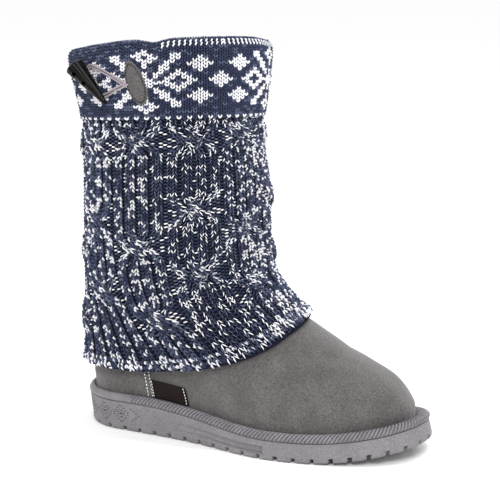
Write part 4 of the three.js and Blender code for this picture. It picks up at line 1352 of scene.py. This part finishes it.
def add_threads(name, ends, radius, material, out):
    """Short sewn stitches between pairs of points, as small rounded bars."""
    points, faces = [], []
    for i, (a, b) in enumerate(ends):
        axis = unit(b - a)
        normal = unit(out - axis * (out @ axis))
        ring = circle(THREAD_SIDES, normal, np.cross(axis, normal))
        points += [lerp(a, b, share) - normal * sink + radius * r * ring for share, r, sink in THREAD_RINGS]
        faces += tube_faces(len(THREAD_RINGS), THREAD_SIDES, i * len(THREAD_RINGS) * THREAD_SIDES)
    add_mesh(name, np.concatenate(points), faces, [material])


# Side seams and label
SEAM_STITCH_AWAY = 1.9
SEAM_STITCH_PITCH = 2.5
SEAM_STITCH_LENGTH = 1.8
SEAM_STITCH_STAND = 0.75
SEAM_THREAD = 0.42
LABEL_COLUMNS = 40
LABEL_ROWS = 16
LABEL_STAND = 0.75
LABEL_CURL = 0.4
LABEL_CURL_START = 0.55
LABEL_STITCH_PITCH = 2.1
LABEL_STITCH_LENGTH = 1.4
LABEL_STITCH_STAND = 1.35
LABEL_THREAD = 0.3


def on_upper(side, along_mm, height, offset):
    turn = side_turn(np.asarray(along_mm, float) / SOLE_LENGTH, side)
    foot = block_top(feather_edge(turn)[..., 0]) + FIT
    return at_height(turn, foot + np.asarray(height, float), offset)


def upright_stitches(side, x, heights, length, stand):
    """End points of stitches that stand one above the other."""
    return [(on_upper(side, x, h, stand), on_upper(side, x, h + length, stand)) for h in heights]


def dress(node, material):
    """A solid of the part keeps its form and gets a material."""
    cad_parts[node].data.materials.clear()
    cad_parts[node].data.materials.append(material)


def make_seams():
    heights = np.arange(WELT_HEIGHT + 0.5, HEM_BACK - HEEL_BLOCK + 4, SEAM_STITCH_PITCH)
    middle = SEAM_ALONG * SOLE_LENGTH + SEAM_WIDTH / 2
    for side, outwards in (("outer", -1.0), ("inner", 1.0)):
        ends = []
        for x in (middle - SEAM_STITCH_AWAY, middle + SEAM_STITCH_AWAY):
            ends += upright_stitches(side, x, heights, SEAM_STITCH_LENGTH, SEAM_STITCH_STAND)
        out = np.array([0, outwards, 0])
        add_threads(f"seam_stitching_{side}", ends, SEAM_THREAD, thread_pale, out)
        dress(f"seam_{side}", suede)


def make_label():
    back_end = SEAM_ALONG * SOLE_LENGTH + SEAM_WIDTH + 2 * FIT
    front_end = back_end + LABEL_LENGTH
    low = WELT_HEIGHT + FIT
    high = low + LABEL_HEIGHT
    columns, rows = LABEL_COLUMNS, LABEL_ROWS
    X, H = np.meshgrid(np.linspace(back_end, front_end, columns), np.linspace(low, high, rows))
    curl = clamp01(((X - back_end) / LABEL_LENGTH - LABEL_CURL_START) / (1 - LABEL_CURL_START))
    stand = LABEL_STAND + LABEL_CURL * np.sin(math.pi * curl) ** 2
    front = on_upper("outer", X, H, stand + 0.35)
    back = on_upper("outer", X, H, stand - 0.1)[::-1]
    # The rows go down the front and up the back, and the two ends are closed between them
    faces = grid_faces(2 * rows, columns, wrap_columns=False, wrap_rows=True).tolist()
    for r in range(rows - 1):
        for c in (0, columns - 1):
            a, b = r * columns + c, (r + 1) * columns + c
            d, e = (2 * rows - 1 - r) * columns + c, (2 * rows - 2 - r) * columns + c
            faces.append([a, d, e, b] if c == 0 else [a, b, e, d])
    points = np.concatenate([front.reshape(-1, 3), back.reshape(-1, 3)])
    add_mesh("label_tape", points, faces, [label_tape], node="side_label")
    heights = np.arange(low + 0.8, high - 1.5, LABEL_STITCH_PITCH)
    ends = []
    for x in (back_end + 1.1, front_end - 1.4):
        ends += upright_stitches("outer", x, heights, LABEL_STITCH_LENGTH, LABEL_STITCH_STAND)
    add_threads("label_threads", ends, LABEL_THREAD, thread_pale, np.array([0.1, -1.0, 0.2]))


# Camera and light
PHOTO_SIZE = 500
SENSOR_WIDTH = 36
FOCAL_PIXELS = 1482.2
CAMERA_TURN = 30.41
CAMERA_YAW = -3.05
CAMERA_PITCH = 10.81
CAMERA_DISTANCE = 1164.7
CAMERA_HEIGHT = 357.0
CAMERA_AIM = 106.8
FRAME_ZOOM = 1.12
FRAME_SHIFT = (-0.1187, -0.0067)
# Lamps: name, place in metres, width, power in watts, and a strip's height
LAMPS = (
    ("key", (0.9, -1.7, 1.7), 1.0, 31, None),
    ("fill", (-1.6, -1.4, 0.9), 1.4, 3, None),
    ("rim", (0.5, 1.6, 1.3), 1.0, 12, None),
    ("strip", (0.44, 0.02, 1.65), 0.03, 8, 0.9),
)
LAMPS_AIM = Vector((0, 0, 0.13))
FLOOR_HALF = 60.0
FLOOR_WHITE = 0.975


def put_in_scene(name, data):
    obj = bpy.data.objects.new(name, data)
    bpy.context.collection.objects.link(obj)
    return obj


def make_camera():
    turn, pitch = math.radians(CAMERA_TURN), math.radians(CAMERA_PITCH)
    yaw = math.radians(CAMERA_TURN + CAMERA_YAW)
    across, back = math.sin(turn) * CAMERA_DISTANCE, -math.cos(turn) * CAMERA_DISTANCE
    level = math.cos(pitch)
    forward = Vector((-math.sin(yaw) * level, math.cos(yaw) * level, -math.sin(pitch)))
    data = bpy.data.cameras.new("camera")
    data.sensor_width = SENSOR_WIDTH
    data.lens = SENSOR_WIDTH * FOCAL_PIXELS / PHOTO_SIZE * FRAME_ZOOM
    data.shift_x, data.shift_y = FRAME_SHIFT
    data.clip_end = 50
    camera = put_in_scene("camera", data)
    camera.location = to_row((CAMERA_AIM + across, back, CAMERA_HEIGHT))
    camera.rotation_euler = forward.to_track_quat("-Z", "Y").to_euler()
    bpy.context.scene.camera = camera


def make_stage():
    mesh = bpy.data.meshes.new("floor")
    corners = [(x * FLOOR_HALF, y * FLOOR_HALF, 0) for x, y in ((-1, -1), (1, -1), (1, 1), (-1, 1))]
    mesh.from_pydata(corners, [], [(0, 1, 2, 3)])
    floor = put_in_scene("floor", mesh)
    mesh.materials.append(new_material("pale_floor", (FLOOR_WHITE,) * 3, 0.95, Specular_IOR_Level=0.1))
    world = bpy.data.worlds.new("studio")
    bpy.context.scene.world = world
    world.use_nodes = True
    background = world.node_tree.nodes["Background"]
    background.inputs["Color"].default_value = (1, 1, 1, 1)
    background.inputs["Strength"].default_value = 1.0
    for name, place, size, power, tall in LAMPS:
        data = bpy.data.lights.new(name, "AREA")
        data.shape = "RECTANGLE" if tall else "DISK"
        data.size = size
        if tall:
            data.size_y = tall
        data.energy = power
        lamp = put_in_scene(name, data)
        lamp.location = place
        lamp.rotation_euler = (LAMPS_AIM - Vector(place)).to_track_quat("-Z", "Y").to_euler()


make_outsole()
make_heel_dashes()
make_welt()
make_upper()
make_leg()
make_bars()
make_hem_edge()
make_cuff()
make_seams()
make_label()
make_horn()
make_cord()
make_patch()
make_camera()
make_stage()
dress("insole", lining)

bpy.context.view_layer.update()

bpy.context.scene.view_settings.view_transform = "Standard"
